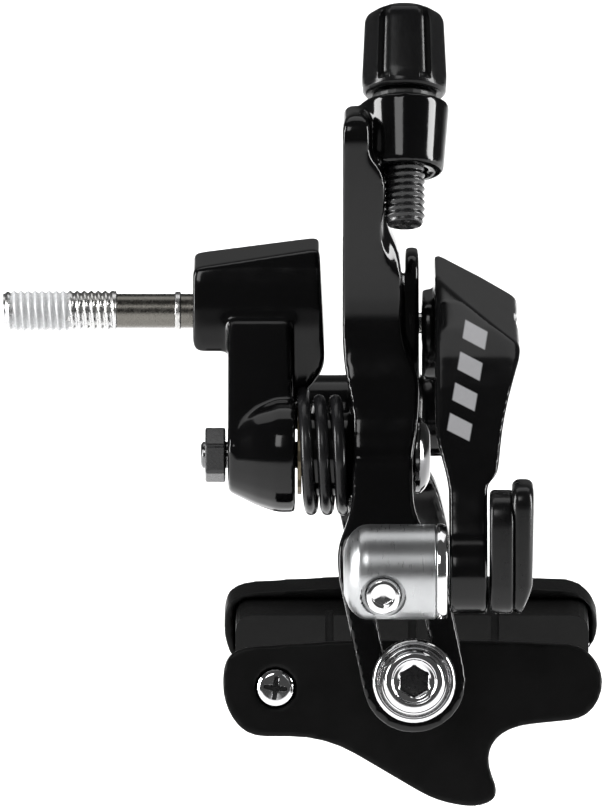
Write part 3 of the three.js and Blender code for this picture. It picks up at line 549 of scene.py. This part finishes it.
@dataclass(frozen=True)
class Finish:
    """A surface finish: two close tones, a range of roughness and a fine relief.

    Attributes:
        name: The material's name.
        tone: Base colour.
        second: The tone it drifts towards.
        metal: Metallic value.
        rough: Lowest and highest roughness.
        grain: Relief features per metre.
        relief: Relief height in metres.
        stretch: Grain scale along each axis.
        coat: Clear coat weight.
        coat_rough: Clear coat roughness.
        specular: Specular level.
        anisotropic: Anisotropy.
    """

    name: str
    tone: tuple[float, float, float]
    second: tuple[float, float, float]
    metal: float
    rough: tuple[float, float]
    grain: float
    relief: float
    stretch: tuple[float, float, float] = (1.0, 1.0, 1.0)
    coat: float = 0.0
    coat_rough: float = 0.03
    specular: float = 0.5
    anisotropic: float = 0.0

    def graph(self) -> Graph:
        """Builds the material's nodes and returns them."""
        graph = Graph(self.name)
        graph.set(Metallic=self.metal, Coat_Weight=self.coat, Coat_Roughness=self.coat_rough,
                  Specular_IOR_Level=self.specular, Anisotropic=self.anisotropic)
        drift = graph.noise(self.grain / 12, 4.0)
        fine = graph.noise(self.grain, 3.0, self.stretch)
        share = graph.remap(drift, (0.35, 0.65), (0, 1))
        graph.feed("Base Color", graph.blend(share, self.tone, self.second))
        graph.feed("Roughness", graph.remap(fine, (0.3, 0.7), self.rough))
        graph.bump(fine, self.relief)
        return graph

    def make(self) -> bpy.types.Material:
        """Builds the material."""
        return self.graph().material


@dataclass(frozen=True)
class ThreadLockSteel(Finish):
    """Plated steel with a white thread-lock band round part of its length, and a painted dark
    reflection on its plain shank.

    Attributes:
        band: Where the band starts and ends along X, in metres.
        dark: Where the plain shank starts along X, in metres; from there its colour is a painted dark
            reflection.
        shank_dark_reflection_tone: The shank's dark tone, a painted reflection of dark surroundings on
            plated steel.
        band_tone: The band's colour.
    """

    band: tuple[float, float] = (0.0, 0.0)
    dark: float = 0.0
    shank_dark_reflection_tone: tuple[float, float, float] = (0.11, 0.105, 0.095)
    band_tone: tuple[float, float, float] = (0.36, 0.365, 0.37)

    def make(self) -> bpy.types.Material:
        """Builds the material with its band and the shank's painted dark reflection."""
        graph = self.graph()
        x, _, _ = graph.split()
        ragged = graph.remap(graph.noise(900.0, 2.0), (0.3, 0.7), (-0.0006, 0.0006))
        mask = graph.window(graph.math("ADD", x, ragged), self.band[0], self.band[1], 0.0002)
        # Painted reflection: past dark the plated shank takes a dark tone that stands in for the dark
        # surroundings it mirrors.
        shank = graph.remap(x, (self.dark - 0.0001, self.dark + 0.0001), (0, 1))
        steel = graph.mix(shank, graph.base(), self.shank_dark_reflection_tone)
        graph.feed("Base Color", graph.mix(mask, steel, self.band_tone))
        graph.feed("Metallic", graph.remap(mask, (0, 1), (1, 0)))
        return graph.material


@dataclass(frozen=True)
class BarredPaint(Finish):
    """Black paint with a plain row of slanted silver bars printed on it.

    Attributes:
        base: X of the row's rear edge where Z is 0, in metres.
        foot: Height of the row's foot along its slant, in metres.
        bars: How many bars the row has.
        width: Width of the row along X, in metres.
        slant: How far the row moves forwards for each metre up.
        step: Height of one bar and its gap, in metres.
        shear: How steeply each bar's ends slope.
        side: The span of Y that carries the row, in metres.
        ink: The bars' colour.
    """

    base: float = 0.0
    foot: float = 0.0
    bars: float = 3.0
    width: float = 0.0
    slant: float = 0.0
    step: float = 0.005
    shear: float = 0.45
    side: tuple[float, float] = (-0.040, -0.012)
    ink: tuple[float, float, float] = (0.16, 0.16, 0.165)

    def make(self) -> bpy.types.Material:
        """Builds the paint and mixes the bars over it."""
        graph = self.graph()
        x, y, z = graph.split()
        edge = 0.0001
        lean = graph.math("SUBTRACT", x, graph.math("MULTIPLY", z, self.slant))
        across = graph.window(lean, self.base, self.base + self.width, edge)
        rise = graph.math("ADD", z, graph.math("MULTIPLY", x, self.shear))
        count = graph.math("MULTIPLY", graph.math("SUBTRACT", rise, self.foot), 1.0 / self.step)
        along = graph.window(count, 0.0, self.bars, 0.01)
        inked = graph.window(graph.math("FRACT", count, 0.0), 0.05, 0.62, 0.02)
        near = graph.window(y, self.side[0], self.side[1], edge)
        mask = graph.math("MULTIPLY", graph.math("MULTIPLY", across, along),
                          graph.math("MULTIPLY", inked, near))
        wear = graph.remap(graph.noise(9000.0, 2.0), (0.2, 0.5), (0.75, 1.0))
        graph.feed("Base Color", graph.mix(graph.math("MULTIPLY", mask, wear), graph.base(), self.ink))
        return graph.material


class Shop:
    """Every finish of the caliper, made once and shared."""

    def __init__(self) -> None:
        """Makes the materials."""
        black = (0.0010, 0.0010, 0.0011)
        self.paint = Finish("gloss_black_paint", black, (0.0016, 0.0016, 0.0017), 0.0, (0.08, 0.13),
                            420.0, 0.000004, specular=0.22).make()
        self.barred = BarredPaint("barred_black_paint", black, (0.0016, 0.0016, 0.0017), 0.0,
                                  (0.12, 0.18), 420.0, 0.000004, specular=0.2, base=0.0383,
                                  foot=0.0047, bars=4.0, width=0.0034, slant=0.2, step=0.0041).make()
        self.satin_paint = Finish("satin_black_paint", black, (0.0018, 0.0018, 0.0019), 0.0,
                                  (0.2, 0.28), 700.0, 0.000006, specular=0.22).make()
        self.holder = Finish("matte_black_coat", (0.0015, 0.0015, 0.0015),
                             (0.0024, 0.0024, 0.0024), 0.0, (0.36, 0.46),
                             2600.0, 0.000008, specular=0.07).make()
        self.rubber = Finish("pad_rubber", (0.0018, 0.0018, 0.0018), (0.0028, 0.0028, 0.0027), 0.0,
                             (0.3, 0.42), 1500.0, 0.00002, specular=0.1).make()
        self.aluminium = Finish("satin_aluminium", (0.30, 0.305, 0.31), (0.35, 0.355, 0.36), 1.0,
                                (0.27, 0.33), 1500.0, 0.000002, (3.0, 0.3, 0.3)).make()
        self.chrome = Finish("polished_chrome", (0.52, 0.52, 0.53), (0.58, 0.58, 0.58), 1.0,
                             (0.05, 0.12), 900.0, 0.000002).make()
        self.dark_chrome = Finish("black_chrome", (0.10, 0.10, 0.105), (0.13, 0.13, 0.13), 1.0,
                                  (0.08, 0.14), 900.0, 0.000002).make()
        self.steel = Finish("plated_steel", (0.36, 0.36, 0.37), (0.42, 0.415, 0.40), 1.0,
                            (0.2, 0.34), 2200.0, 0.000005).make()
        # Past dark= the stud's plain shank is toned dark: a painted reflection of dark surroundings on
        # plated steel.
        self.stud = ThreadLockSteel("stud_steel", (0.42, 0.42, 0.43), (0.5, 0.495, 0.48), 1.0,
                                    (0.2, 0.34), 2200.0, 0.000006, band=(-0.0261, -0.0176),
                                    dark=-0.0109).make()
        self.spring = Finish("black_spring_steel", (0.006, 0.006, 0.0065), (0.009, 0.009, 0.0095), 0.2,
                             (0.16, 0.26), 1800.0, 0.000004, specular=0.2).make()
        self.black_steel = Finish("black_oxide_steel", (0.006, 0.006, 0.0065),
                                  (0.01, 0.01, 0.0105), 0.3, (0.22, 0.34), 1800.0, 0.000005).make()
        self.plastic = Finish("black_moulded_plastic", (0.0025, 0.0025, 0.0027),
                              (0.0035, 0.0035, 0.0036), 0.0, (0.16, 0.24),
                              1600.0, 0.000006, specular=0.15).make()
        self.nylon = Finish("black_nylon", (0.004, 0.004, 0.004), (0.008, 0.008, 0.008), 0.0,
                            (0.4, 0.55), 1600.0, 0.00001, specular=0.3).make()
        self.bronze = Finish("bearing_bronze", (0.10, 0.085, 0.06), (0.14, 0.115, 0.075), 1.0,
                             (0.3, 0.45), 2400.0, 0.000005).make()


def dress(piece: bpy.types.Object, material: bpy.types.Material) -> None:
    """Gives every material slot of a piece one material."""
    if not piece.material_slots:
        piece.data.materials.append(material)
    for place in piece.material_slots:
        place.material = material


@dataclass(frozen=True)
class Fit:
    """Hands a new piece to the frame: its body, the nodes that it stands for, its finish."""

    body: str
    nodes: tuple[str, ...]
    slot: str
    material: bpy.types.Material

    def apply(self, piece: bpy.types.Object) -> bpy.types.Object:
        """Rides, replaces and dresses the piece, and logs it."""
        dress(piece, self.material)
        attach(piece, self.body)
        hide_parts(*self.nodes)
        LOG.info("made %s for %s", piece.name, ", ".join(self.nodes))
        return piece


class Edge(Enum):
    """How a carried-over node gets its edges."""

    CAST = "cast"
    MACHINED = "machined"


def carry(node: str, material: bpy.types.Material, edge: Edge, size: float, passes: int = 6) -> None:
    """Keeps a CAD node, rounds its edges by modifiers and gives it a finish.

    Args:
        node: The CAD node's name.
        material: Its finish.
        edge: Cast edges come from a fine remesh and smoothing, machined ones from a bevel.
        size: Voxel size or bevel width, in metres.
        passes: Smoothing passes on a casting.
    """
    piece = frame["nodes"][node]
    weld = piece.modifiers.new("weld", "WELD")
    weld.merge_threshold = 0.00001
    if edge is Edge.CAST:
        remesh = piece.modifiers.new("remesh", "REMESH")
        remesh.mode = "VOXEL"
        remesh.voxel_size = size
        remesh.use_smooth_shade = True
        smooth = piece.modifiers.new("smooth", "SMOOTH")
        smooth.iterations = passes
        smooth.factor = 0.5
    else:
        bevel = piece.modifiers.new("bevel", "BEVEL")
        bevel.width = size
        bevel.segments = 3
        bevel.limit_method = "ANGLE"
        bevel.angle_limit = math.radians(32)
        bevel.harden_normals = True
    dress(piece, material)
    LOG.info("carried %s", node)


# ------------------------------------------------------------------ sub-assemblies
@dataclass
class Castings:
    """The bracket and the two arms."""

    shop: Shop
    voxel: float = 0.00026
    passes: int = 34

    def build(self) -> None:
        """Rounds and paints the castings."""
        for node, finish in (("bracket", self.shop.paint), ("adjuster_arm", self.shop.paint),
                             ("anchor_arm", self.shop.barred)):
            carry(node, finish, Edge.CAST, self.voxel, self.passes)


@dataclass
class Stud:
    """The mounting stud: threaded tail with a thread-lock band, a shank toned dark as a painted
    reflection, head.
    """

    shop: Shop
    radius: float = 2.95
    shank: float = 2.45
    tip: float = -27.1
    thread_end: float = -10.9
    head_back: float = 15.1
    head_front: float = 17.7
    head_radius: float = 5.0

    def build(self) -> None:
        """Draws the threaded bar and its head, and the bright ring at the bracket."""
        line = Line.through(np.zeros(3), X_AXIS, Z_AXIS)
        spans = [(self.tip, self.radius, 1.0), (self.thread_end, self.shank, 0.0),
                 (self.head_back, self.shank, 0.0)]
        bar = threaded("stud_bar", line, spans, 1.0, 0.42)
        Fit("bracket", ("mounting_stud",), "steel", self.shop.stud).apply(bar)
        head = turned("stud_head", line, [
            Corner(self.shank, self.head_back), Corner(self.head_radius, self.head_back),
            Corner(self.head_radius, self.head_front), Corner(3.2, self.head_front),
            Corner(2.5, self.head_front - 0.2, 0.05, 6), Corner(2.5, 13.9, 0.05, 6), Corner(0.3, 13.7)])
        Fit("bracket", ("mounting_stud",), "steel", self.shop.steel).apply(head)
        ring = turned("stud_ring", line, [
            Corner(2.5, -2.6), Corner(2.75, -2.5), Corner(2.75, -1.8), Corner(2.5, -1.7)])
        Fit("bracket", ("mounting_stud",), "steel", self.shop.steel).apply(ring)


@dataclass
class Pivots:
    """The arm pivots: domed bolts, nuts, washers and bushes."""

    shop: Shop
    head_radius: float = 5.45
    shank: float = 3.0
    stub: float = 1.9
    near_head: float = 31.6
    far_head: float = 38.7

    def build(self) -> None:
        """Draws both bolts and finishes the small rings."""
        for side, head, arm in ((Side.NEAR, self.near_head, "adjuster_arm"),
                                (Side.FAR, self.far_head, "anchor_arm")):
            name = side.value
            place = middle(f"{name}_pivot_bolt") * np.array([0.0, 1.0, 1.0])
            tail = float(low(f"{name}_pivot_bolt")[0]) / MM
            line = Line.through(place, X_AXIS, Z_AXIS)
            bolt = turned(f"{name}_pivot_screw", line, [
                Corner(self.stub - 0.4, tail), Corner(self.stub, tail + 0.3), Corner(self.stub, 14.9),
                Corner(self.shank, 14.9), Corner(self.shank, head), Corner(self.head_radius, head),
                Corner(self.head_radius, head + 0.7), Corner(4.7, head + 1.5, 0.6),
                Corner(3.4, head + 2.1, 0.6), Corner(2.5, head + 2.2),
                Corner(2.0, head + 1.9, 0.05, 6), Corner(2.0, head + 0.5, 0.05, 6),
                Corner(0.3, head + 0.4)])
            Fit("bracket", (f"{name}_pivot_bolt",), "chrome", self.shop.dark_chrome).apply(bolt)
            carry(f"{name}_thrust_washer", self.shop.bronze, Edge.MACHINED, 0.0001)
            carry(f"{name}_pivot_bush", self.shop.bronze, Edge.MACHINED, 0.0001)
        carry("near_pivot_nut", self.shop.black_steel, Edge.MACHINED, 0.0004)
        carry("link_pin", self.shop.steel, Edge.MACHINED, 0.0002)
        carry("link_roller", self.shop.nylon, Edge.MACHINED, 0.0002)


@dataclass
class Spring:
    """The return spring, a wire wound round the near pivot."""

    shop: Shop
    wire: float = 0.9
    coil: float = 7.7
    turns: float = 2.5
    pitch: float = 2.3
    first: float = 15.75
    leg: float = 7.6

    def build(self) -> None:
        """Draws the coil (x0 + p t, y0 - r cos a, z0 + r sin a) and its straight ends."""
        centre = middle("near_pivot_bolt")
        t = np.linspace(0.0, self.turns, int(self.turns * 72) + 1)
        angle = math.pi / 2 - 2 * math.pi * t
        coil = np.stack([(self.first + self.pitch * t) * MM,
                         centre[1] - self.coil * MM * np.cos(angle),
                         centre[2] + self.coil * MM * np.sin(angle)], axis=1)
        reach = np.linspace(1.0, 0.03, 12)[:, None] * np.array([0.0, self.leg * MM, 0.0])
        path = np.concatenate([coil[0] + reach, coil, coil[-1] + reach[::-1]])
        Fit("bracket", ("return_spring",), "black_steel", self.shop.spring).apply(
            tube("spring_wire", path, self.wire * MM))


@dataclass
class Adjuster:
    """The cable adjuster: threaded barrel, detent ring and lobed knob."""

    shop: Shop
    centre: tuple[float, float, float] = (30.1, -12.0, 26.6)
    foot: float = 6.5
    lobes: int = 6
    groove: float = 0.85

    def line(self) -> Line:
        """The barrel's axis from the boss's middle."""
        axis = np.array(joint("adjuster_knob_turn")["axis"], dtype=float)
        return Line.through(np.array(self.centre) * MM, axis)

    def build(self) -> None:
        """Draws the barrel and the knob, and finishes the detent ring."""
        spans = [(-12.8, 2.95, 1.0), (13.2, 2.95, 0.0)]
        barrel = threaded("adjuster_thread", self.line(), spans, 1.0, 0.42)
        Fit("adjuster_bolt", ("adjuster_bolt",), "black_steel", self.shop.black_steel).apply(barrel)
        Fit("adjuster_knob", ("adjuster_knob",), "plastic", self.shop.plastic).apply(self.knob())
        carry("adjuster_detent_ring", self.shop.nylon, Edge.MACHINED, 0.0003)

    def knob(self) -> bpy.types.Object:
        """Draws R(t) - g(t) * m(u), where m is 1 in a narrow groove and bulges gently between."""
        corners = [Corner(3.4, 0.0), Corner(5.5, 0.0, 0.15), Corner(5.9, 0.4, 0.2),
                   Corner(5.95, 1.0, 0.2),
                   Corner(6.0, 2.4, 0.4), Corner(5.6, 10.8, 0.5), Corner(5.1, 11.8, 0.4),
                   Corner(4.4, 12.2, 0.3), Corner(3.5, 12.25, 0.1), Corner(3.3, 12.75, 0.15),
                   Corner(2.5, 12.85, 0.1), Corner(2.35, 12.3, 0.1), Corner(2.3, 11.5, 0.1)]
        rows = finer_rows(rounded_rows(corners, 6)[0], 0.5 * MM)
        angle = np.linspace(0.0, 2 * math.pi, 360, endpoint=False)[None, :]
        wedge = 2 * math.pi / self.lobes
        offset = (angle + wedge / 2) % wedge - wedge / 2
        radius, along = rows[:, 0:1] / MM, rows[:, 1:2] / MM
        outer = np.clip((radius - 3.6) / 0.8, 0, 1)
        depth = self.groove * outer * np.clip((along - 1.0) / 0.5, 0, 1)
        dip = np.clip((0.15 - np.abs(offset)) / 0.035, 0, 1) - 0.16 * np.cos(offset * self.lobes)
        shaped = (radius - depth * dip) * MM
        distance = np.broadcast_to((along + self.foot) * MM, shaped.shape)
        points = self.line().place(shaped, np.broadcast_to(angle, shaped.shape), distance)
        return grid_mesh("adjuster_cap", points, crease=50.0)


@dataclass
class Release:
    """The quick release: plate and lever on an eccentric, and the cable clamp."""

    shop: Shop
    axis_u: float = 43.5
    axis_z: float = -30.5
    plate_top: float = 11.5
    lever_top: float = 12.9
    foot: float = 5.7
    throw: float = 1.4
    screw_x: float = 27.0
    screw_drop: float = 2.6
    pocket_radius: float = 3.15
    pocket_floor: float = 3.6

    def build(self) -> None:
        """Draws each of the release's pieces."""
        foot = self.axis_z - self.foot
        top = self.axis_z + self.plate_top
        plate = rounded_outline([(-49.0, foot, 4.6), (-38.0, foot, 4.6), (-38.0, top, 4.6),
                                 (-49.0, top, 4.6)])
        Fit("qr_lever", ("qr_lever",), "paint", self.shop.satin_paint).apply(
            pillow("release_plate", plate, 0.042, 0.0454, 0.0007))
        top = self.axis_z + self.lever_top
        lever = rounded_outline([(-48.7, foot, 4.5), (-38.3, foot, 4.5), (-38.3, top, 3.4),
                                 (-48.7, top, 3.4)])
        grip = pillow("release_lever", lever, 0.0451, 0.0482, 0.0011)
        self.taper(grip)
        Fit("qr_lever", ("qr_lever",), "paint", self.shop.satin_paint).apply(grip)
        line = Line.through(np.array([0.0, -self.axis_u, self.axis_z + self.throw]) * MM, X_AXIS)
        Fit("qr_lever", ("qr_lever",), "paint", self.shop.steel).apply(turned("release_pin", line, [
            Corner(2.2, 24.5), Corner(2.4, 24.8), Corner(2.4, 36.2), Corner(2.4, 42.3)]))
        Fit("cable_clamp", ("cable_clamp_barrel",), "satin_aluminium", self.shop.aluminium).apply(
            self.barrel())
        axle = Line.through(np.array([0.0, -self.axis_u, self.axis_z]) * MM, X_AXIS, Z_AXIS)
        Fit("cable_clamp", ("cable_clamp_barrel",), "chrome", self.shop.chrome).apply(
            turned("clamp_ring", axle, [
                Corner(6.2, 34.55), Corner(6.75, 34.6, 0.1), Corner(6.8, 35.2, 0.2),
                Corner(6.5, 36.0, 0.15), Corner(3.0, 36.1)]))
        screw = Line.through(
            np.array([self.screw_x, -self.axis_u, self.axis_z - self.screw_drop]) * MM, -Y_AXIS)
        Fit("cable_clamp", ("cable_clamp_screw",), "chrome", self.shop.chrome).apply(
            turned("clamp_screw", screw, [
                Corner(2.4, 3.2), Corner(2.62, 3.4), Corner(2.62, 5.0), Corner(2.3, 5.45, 0.3),
                Corner(1.7, 5.6, 0.1), Corner(1.25, 5.4, 0.05, 6), Corner(1.25, 4.1, 0.05, 6),
                Corner(0.2, 4.0)]))

    def taper(self, grip: bpy.types.Object) -> None:
        """Thins the lever towards its foot: x falls by s (z0 - z) below z0."""
        mesh = grip.data
        flat = np.empty(len(mesh.vertices) * 3)
        mesh.vertices.foreach_get("co", flat)
        points = flat.reshape(-1, 3)
        below = np.clip((self.axis_z * MM - points[:, 2]) / (self.foot * MM), 0, 1)
        front = np.clip((points[:, 0] - 0.0462) / 0.002, 0, 1)
        points[:, 0] -= 0.0018 * below ** 1.4 * front
        mesh.vertices.foreach_set("co", points.ravel())
        mesh.update()

    def barrel(self) -> bpy.types.Object:
        """Draws the clamp's barrel, with the surface inside the screw's circle pushed to a flat."""
        corners = [Corner(0.4, 21.4), Corner(3.2, 21.45, 0.3), Corner(5.2, 22.2, 0.9),
                   Corner(6.45, 23.6, 0.7), Corner(6.7, 24.6, 0.4), Corner(6.7, 34.3, 0.15),
                   Corner(6.4, 34.5, 0.1), Corner(6.4, 35.9, 0.1), Corner(3.0, 36.0)]
        rows = finer_rows(rounded_rows(corners, 6)[0], 0.1 * MM)
        angle = np.linspace(0.0, 2 * math.pi, 400, endpoint=False)[None, :]
        line = Line.through(np.array([0.0, -self.axis_u, self.axis_z]) * MM, X_AXIS, Z_AXIS)
        radius = np.broadcast_to(rows[:, 0:1], (len(rows), angle.shape[1]))
        points = line.place(radius, np.broadcast_to(angle, radius.shape),
                            np.broadcast_to(rows[:, 1:2], radius.shape))
        away = np.hypot(points[..., 0] - self.screw_x * MM,
                        points[..., 2] - (self.axis_z - self.screw_drop) * MM) / MM
        facing = points[..., 1] < -self.axis_u * MM
        floor = -(self.axis_u + self.pocket_floor) * MM
        inside = facing & (away < self.pocket_radius)
        points[..., 1] = np.where(inside, np.maximum(points[..., 1], floor), points[..., 1])
        return grid_mesh("clamp_barrel", points, crease=35.0)


@dataclass
class Shoe:
    """One brake shoe and the bolt that holds it in its arm's slot."""

    shop: Shop
    side: Side
    bolt_x: float = 31.4
    reach: float = 49.9
    pivot_u: float = 17.5
    pivot_z: float = -18.0
    opening: float = 9.0
    washer_u: float = 32.8
    head_u: float = 34.8
    back_u: float = 24.4
    screw_back: float = 19.6
    screw_drop: float = 1.1

    @property
    def sign(self) -> float:
        """The sign of y on this side."""
        return -1.0 if self.side is Side.NEAR else 1.0

    def line(self, x: float, drop: float) -> Line:
        """The axis through the shoe at x and a drop below the bolt, from u = 0, arm open.

        Args:
            x: Station along X in millimetres.
            drop: Distance below the bolt in millimetres.

        Returns:
            The line, pointing away from the rim.
        """
        turn = self.sign * math.radians(self.opening)
        pivot = np.array([0.0, self.sign * self.pivot_u, self.pivot_z])
        rotate = np.array([[1.0, 0.0, 0.0], [0.0, math.cos(turn), -math.sin(turn)],
                           [0.0, math.sin(turn), math.cos(turn)]])
        start = rotate @ (np.array([x, 0.0, -self.reach - drop]) - pivot) + pivot
        return Line.through(start * MM, rotate @ np.array([0.0, self.sign, 0.0]))

    def build(self) -> None:
        """Draws the bolt, washers and pad screw, with black discs of painted shade in the bolt's socket
        and the screw's cross, and finishes the holder and the pad.
        """
        name = self.side.value
        line = self.line(self.bolt_x, 0.0)
        head = self.head_u
        bolt = turned(f"{name}_shoe_bolt", line, [
            Corner(2.6, 22.2), Corner(3.0, 22.6), Corner(3.0, head), Corner(4.45, head, 0.2),
            Corner(4.45, head + 2.7, 0.25), Corner(4.0, head + 3.35, 0.25),
            Corner(3.2, head + 3.4, 0.1),
            Corner(2.95, head + 3.05, 0.1), Corner(2.45, head + 3.0, 0.1),
            Corner(2.0, head + 2.75, 0.05, 6), Corner(2.0, head + 0.9, 0.05, 6),
            Corner(0.2, head + 0.7)])
        Fit(f"{name}_shoe_bolt", (f"{name}_pad_bolt",), "chrome", self.shop.chrome).apply(bolt)
        # Painted shade: a black disc set halfway down the chrome bolt's hex socket darkens the recess.
        socket = turned(f"{name}_socket_painted_shade", line, [
            Corner(0.1, head + 1.7), Corner(2.25, head + 1.7), Corner(2.25, head + 1.9),
            Corner(0.1, head + 1.9)])
        Fit(f"{name}_shoe_bolt", (f"{name}_pad_bolt",), "black_steel",
            self.shop.black_steel).apply(socket)
        rim = self.washer_u
        washer = turned(f"{name}_dish", line, [
            Corner(3.3, rim), Corner(5.9, rim, 0.2), Corner(5.95, rim + 1.0, 0.25),
            Corner(5.55, rim + 1.5, 0.2), Corner(5.15, rim + 1.45, 0.1), Corner(4.9, rim + 1.15, 0.15),
            Corner(4.6, rim + 1.2, 0.1), Corner(4.2, rim + 1.65, 0.1), Corner(3.3, rim + 1.7, 0.05),
            Corner(3.3, rim)], ends=Ends.JOINED)
        Fit(f"{name}_shoe_bolt", (f"{name}_dish_washer",), "chrome", self.shop.chrome).apply(washer)
        carry(f"{name}_convex_spacer", self.shop.steel, Edge.MACHINED, 0.0003)
        carry(f"{name}_concave_spacer", self.shop.steel, Edge.MACHINED, 0.0003)
        Fit(f"{name}_shoe", (f"{name}_pad_screw",), "chrome", self.shop.chrome).apply(
            self.cross_screw())
        # Painted shade: a black disc inside the chrome pad screw's head shows through the cross recess
        # and darkens it.
        Fit(f"{name}_shoe", (f"{name}_pad_screw",), "black_steel", self.shop.black_steel).apply(
            turned(f"{name}_cross_painted_shade", self.line(self.bolt_x - self.screw_back, self.screw_drop), [
                Corner(0.1, self.back_u - 0.3), Corner(1.8, self.back_u - 0.3),
                Corner(1.8, self.back_u - 0.1), Corner(0.1, self.back_u - 0.1)]))
        carry(f"{name}_shoe_holder", self.shop.holder, Edge.CAST, 0.0003, 8)
        carry(f"{name}_brake_pad", self.shop.rubber, Edge.MACHINED, 0.0005)

    def cross_screw(self) -> bpy.types.Object:
        """Draws the pad screw, whose head sinks by d * m(|x|, |y|) inside a cross.

        m falls from 1 to 0 across the edge of either bar of the cross, and the bars narrow
        towards their ends as a driver's tip does.
        """
        line = self.line(self.bolt_x - self.screw_back, self.screw_drop)
        back = self.back_u
        corners = [Corner(1.3, 19.0), Corner(1.5, 19.3), Corner(1.5, back - 0.8),
                   Corner(2.6, back - 0.8), Corner(2.6, back - 0.1, 0.1),
                   Corner(2.1, back + 0.3, 0.5), Corner(0.6, back + 0.45, 0.3),
                   Corner(0.02, back + 0.45)]
        rows = finer_rows(rounded_rows(corners, 5)[0], 0.06 * MM)
        angle = np.linspace(0.0, 2 * math.pi, 240, endpoint=False)[None, :]
        radius = rows[:, 0:1] / MM
        a, b = np.abs(radius * np.cos(angle + 0.12)), np.abs(radius * np.sin(angle + 0.12))
        arm = np.maximum(np.clip((0.42 - 0.09 * a - b) / 0.1, 0, 1) * np.clip((1.65 - a) / 0.15, 0, 1),
                         np.clip((0.42 - 0.09 * b - a) / 0.1, 0, 1) * np.clip((1.65 - b) / 0.15, 0, 1))
        top = rows[:, 1:2] > (back - 0.3) * MM
        sink = 0.9 * MM * arm * top
        distance = rows[:, 1:2] - sink
        return grid_mesh(f"{self.side.value}_cross_screw", line.place(
            np.broadcast_to(rows[:, 0:1], distance.shape), np.broadcast_to(angle, distance.shape),
            distance), crease=45.0)


# ------------------------------------------------------------------ studio
@dataclass
class Studio:
    """The pale floor, the soft lights and the camera."""

    elevation: float = 9.0
    distance: float = 3.1
    view_height: float = 0.1151
    centre: tuple[float, float, float] = (0.0157, 0.0, -0.0133)
    floor_drop: float = 0.07

    def build(self) -> None:
        """Makes the floor, world, lights and camera."""
        self.floor()
        self.world()
        self.softbox("overhead", (0.0, 0.5, 1.4), (2.6, 3.4), 68.0, mirrored=False)
        self.softbox("top_strip", (0.0, 0.35, 1.2), (1.6, 0.7), 6.0)
        self.softbox("left_strip", (-1.3, -0.25, 0.15), (0.4, 1.3), 50.0)
        self.softbox("right_strip", (1.3, -0.15, 0.15), (0.4, 1.3), 50.0)
        self.softbox("front_high", (-0.35, -1.2, 0.95), (0.5, 0.5), 6.0)
        self.camera()

    def floor(self) -> None:
        """A pale floor well below the part."""
        mesh = bpy.data.meshes.new("floor")
        half, drop = 6.0, float(CAD_BOX[0][2]) - self.floor_drop
        corners = [(-half, -half, drop), (half, -half, drop), (half, half, drop), (-half, half, drop)]
        mesh.from_pydata(corners, [], [(0, 1, 2, 3)])
        piece = bpy.data.objects.new("floor", mesh)
        bpy.context.scene.collection.objects.link(piece)
        dress(piece, Finish("floor_white", (0.86, 0.86, 0.86), (0.87, 0.87, 0.87), 0.0, (0.7, 0.8),
                            40.0, 0.00001).make())

    def world(self) -> None:
        """An even white surround."""
        world = bpy.data.worlds.new("studio")
        world.use_nodes = True
        world.node_tree.nodes["Background"].inputs["Color"].default_value = (1, 1, 1, 1)
        world.node_tree.nodes["Background"].inputs["Strength"].default_value = 0.10
        bpy.context.scene.world = world

    def softbox(self, name: str, place: tuple[float, float, float], size: tuple[float, float],
                watts: float, mirrored: bool = True) -> None:
        """A rectangular area light that faces the part.

        Args:
            name: The light's name.
            place: Its centre in metres.
            size: Its width and height in metres.
            watts: Its power.
            mirrored: Whether shiny surfaces show it.
        """
        light = bpy.data.lights.new(name, "AREA")
        light.energy = watts
        light.shape = "RECTANGLE"
        light.size, light.size_y = size
        lamp = bpy.data.objects.new(name, light)
        lamp.location = place
        lamp.rotation_euler = direction_euler(np.array(self.centre) - np.array(place))
        lamp.visible_glossy = mirrored
        lamp.visible_camera = False
        bpy.context.scene.collection.objects.link(lamp)

    def camera(self) -> None:
        """A long lens at the side of the part, looking slightly down."""
        tilt = math.radians(self.elevation)
        data = bpy.data.cameras.new("camera")
        data.sensor_width = 36.0
        data.lens = 36.0 * self.distance / self.view_height
        data.clip_end = 20.0
        eye = bpy.data.objects.new("camera", data)
        eye.location = np.array(self.centre) + self.distance * np.array(
            [0.0, -math.cos(tilt), math.sin(tilt)])
        eye.rotation_euler = (math.pi / 2 - tilt, 0.0, 0.0)
        bpy.context.scene.collection.objects.link(eye)
        bpy.context.scene.camera = eye
        bpy.context.scene.view_settings.view_transform = "Standard"


def direction_euler(towards: Array) -> tuple[float, float, float]:
    """Rotation that points an object's -Z axis along a direction.

    Args:
        towards: The direction to look in.

    Returns:
        Euler angles in radians.
    """
    x, y, z = towards / np.linalg.norm(towards)
    return (math.acos(-z), 0.0, math.atan2(y, x) - math.pi / 2)


def main() -> None:
    """Builds the sub-assemblies in order, then the studio."""
    logging.basicConfig(level=logging.INFO, format="%(name)s: %(message)s")
    shop = Shop()
    for assembly in (Castings(shop), Stud(shop), Pivots(shop), Spring(shop), Adjuster(shop),
                     Release(shop), Shoe(shop, Side.NEAR), Shoe(shop, Side.FAR)):
        assembly.build()
    Studio().build()


if __name__ == "__main__":
    main()
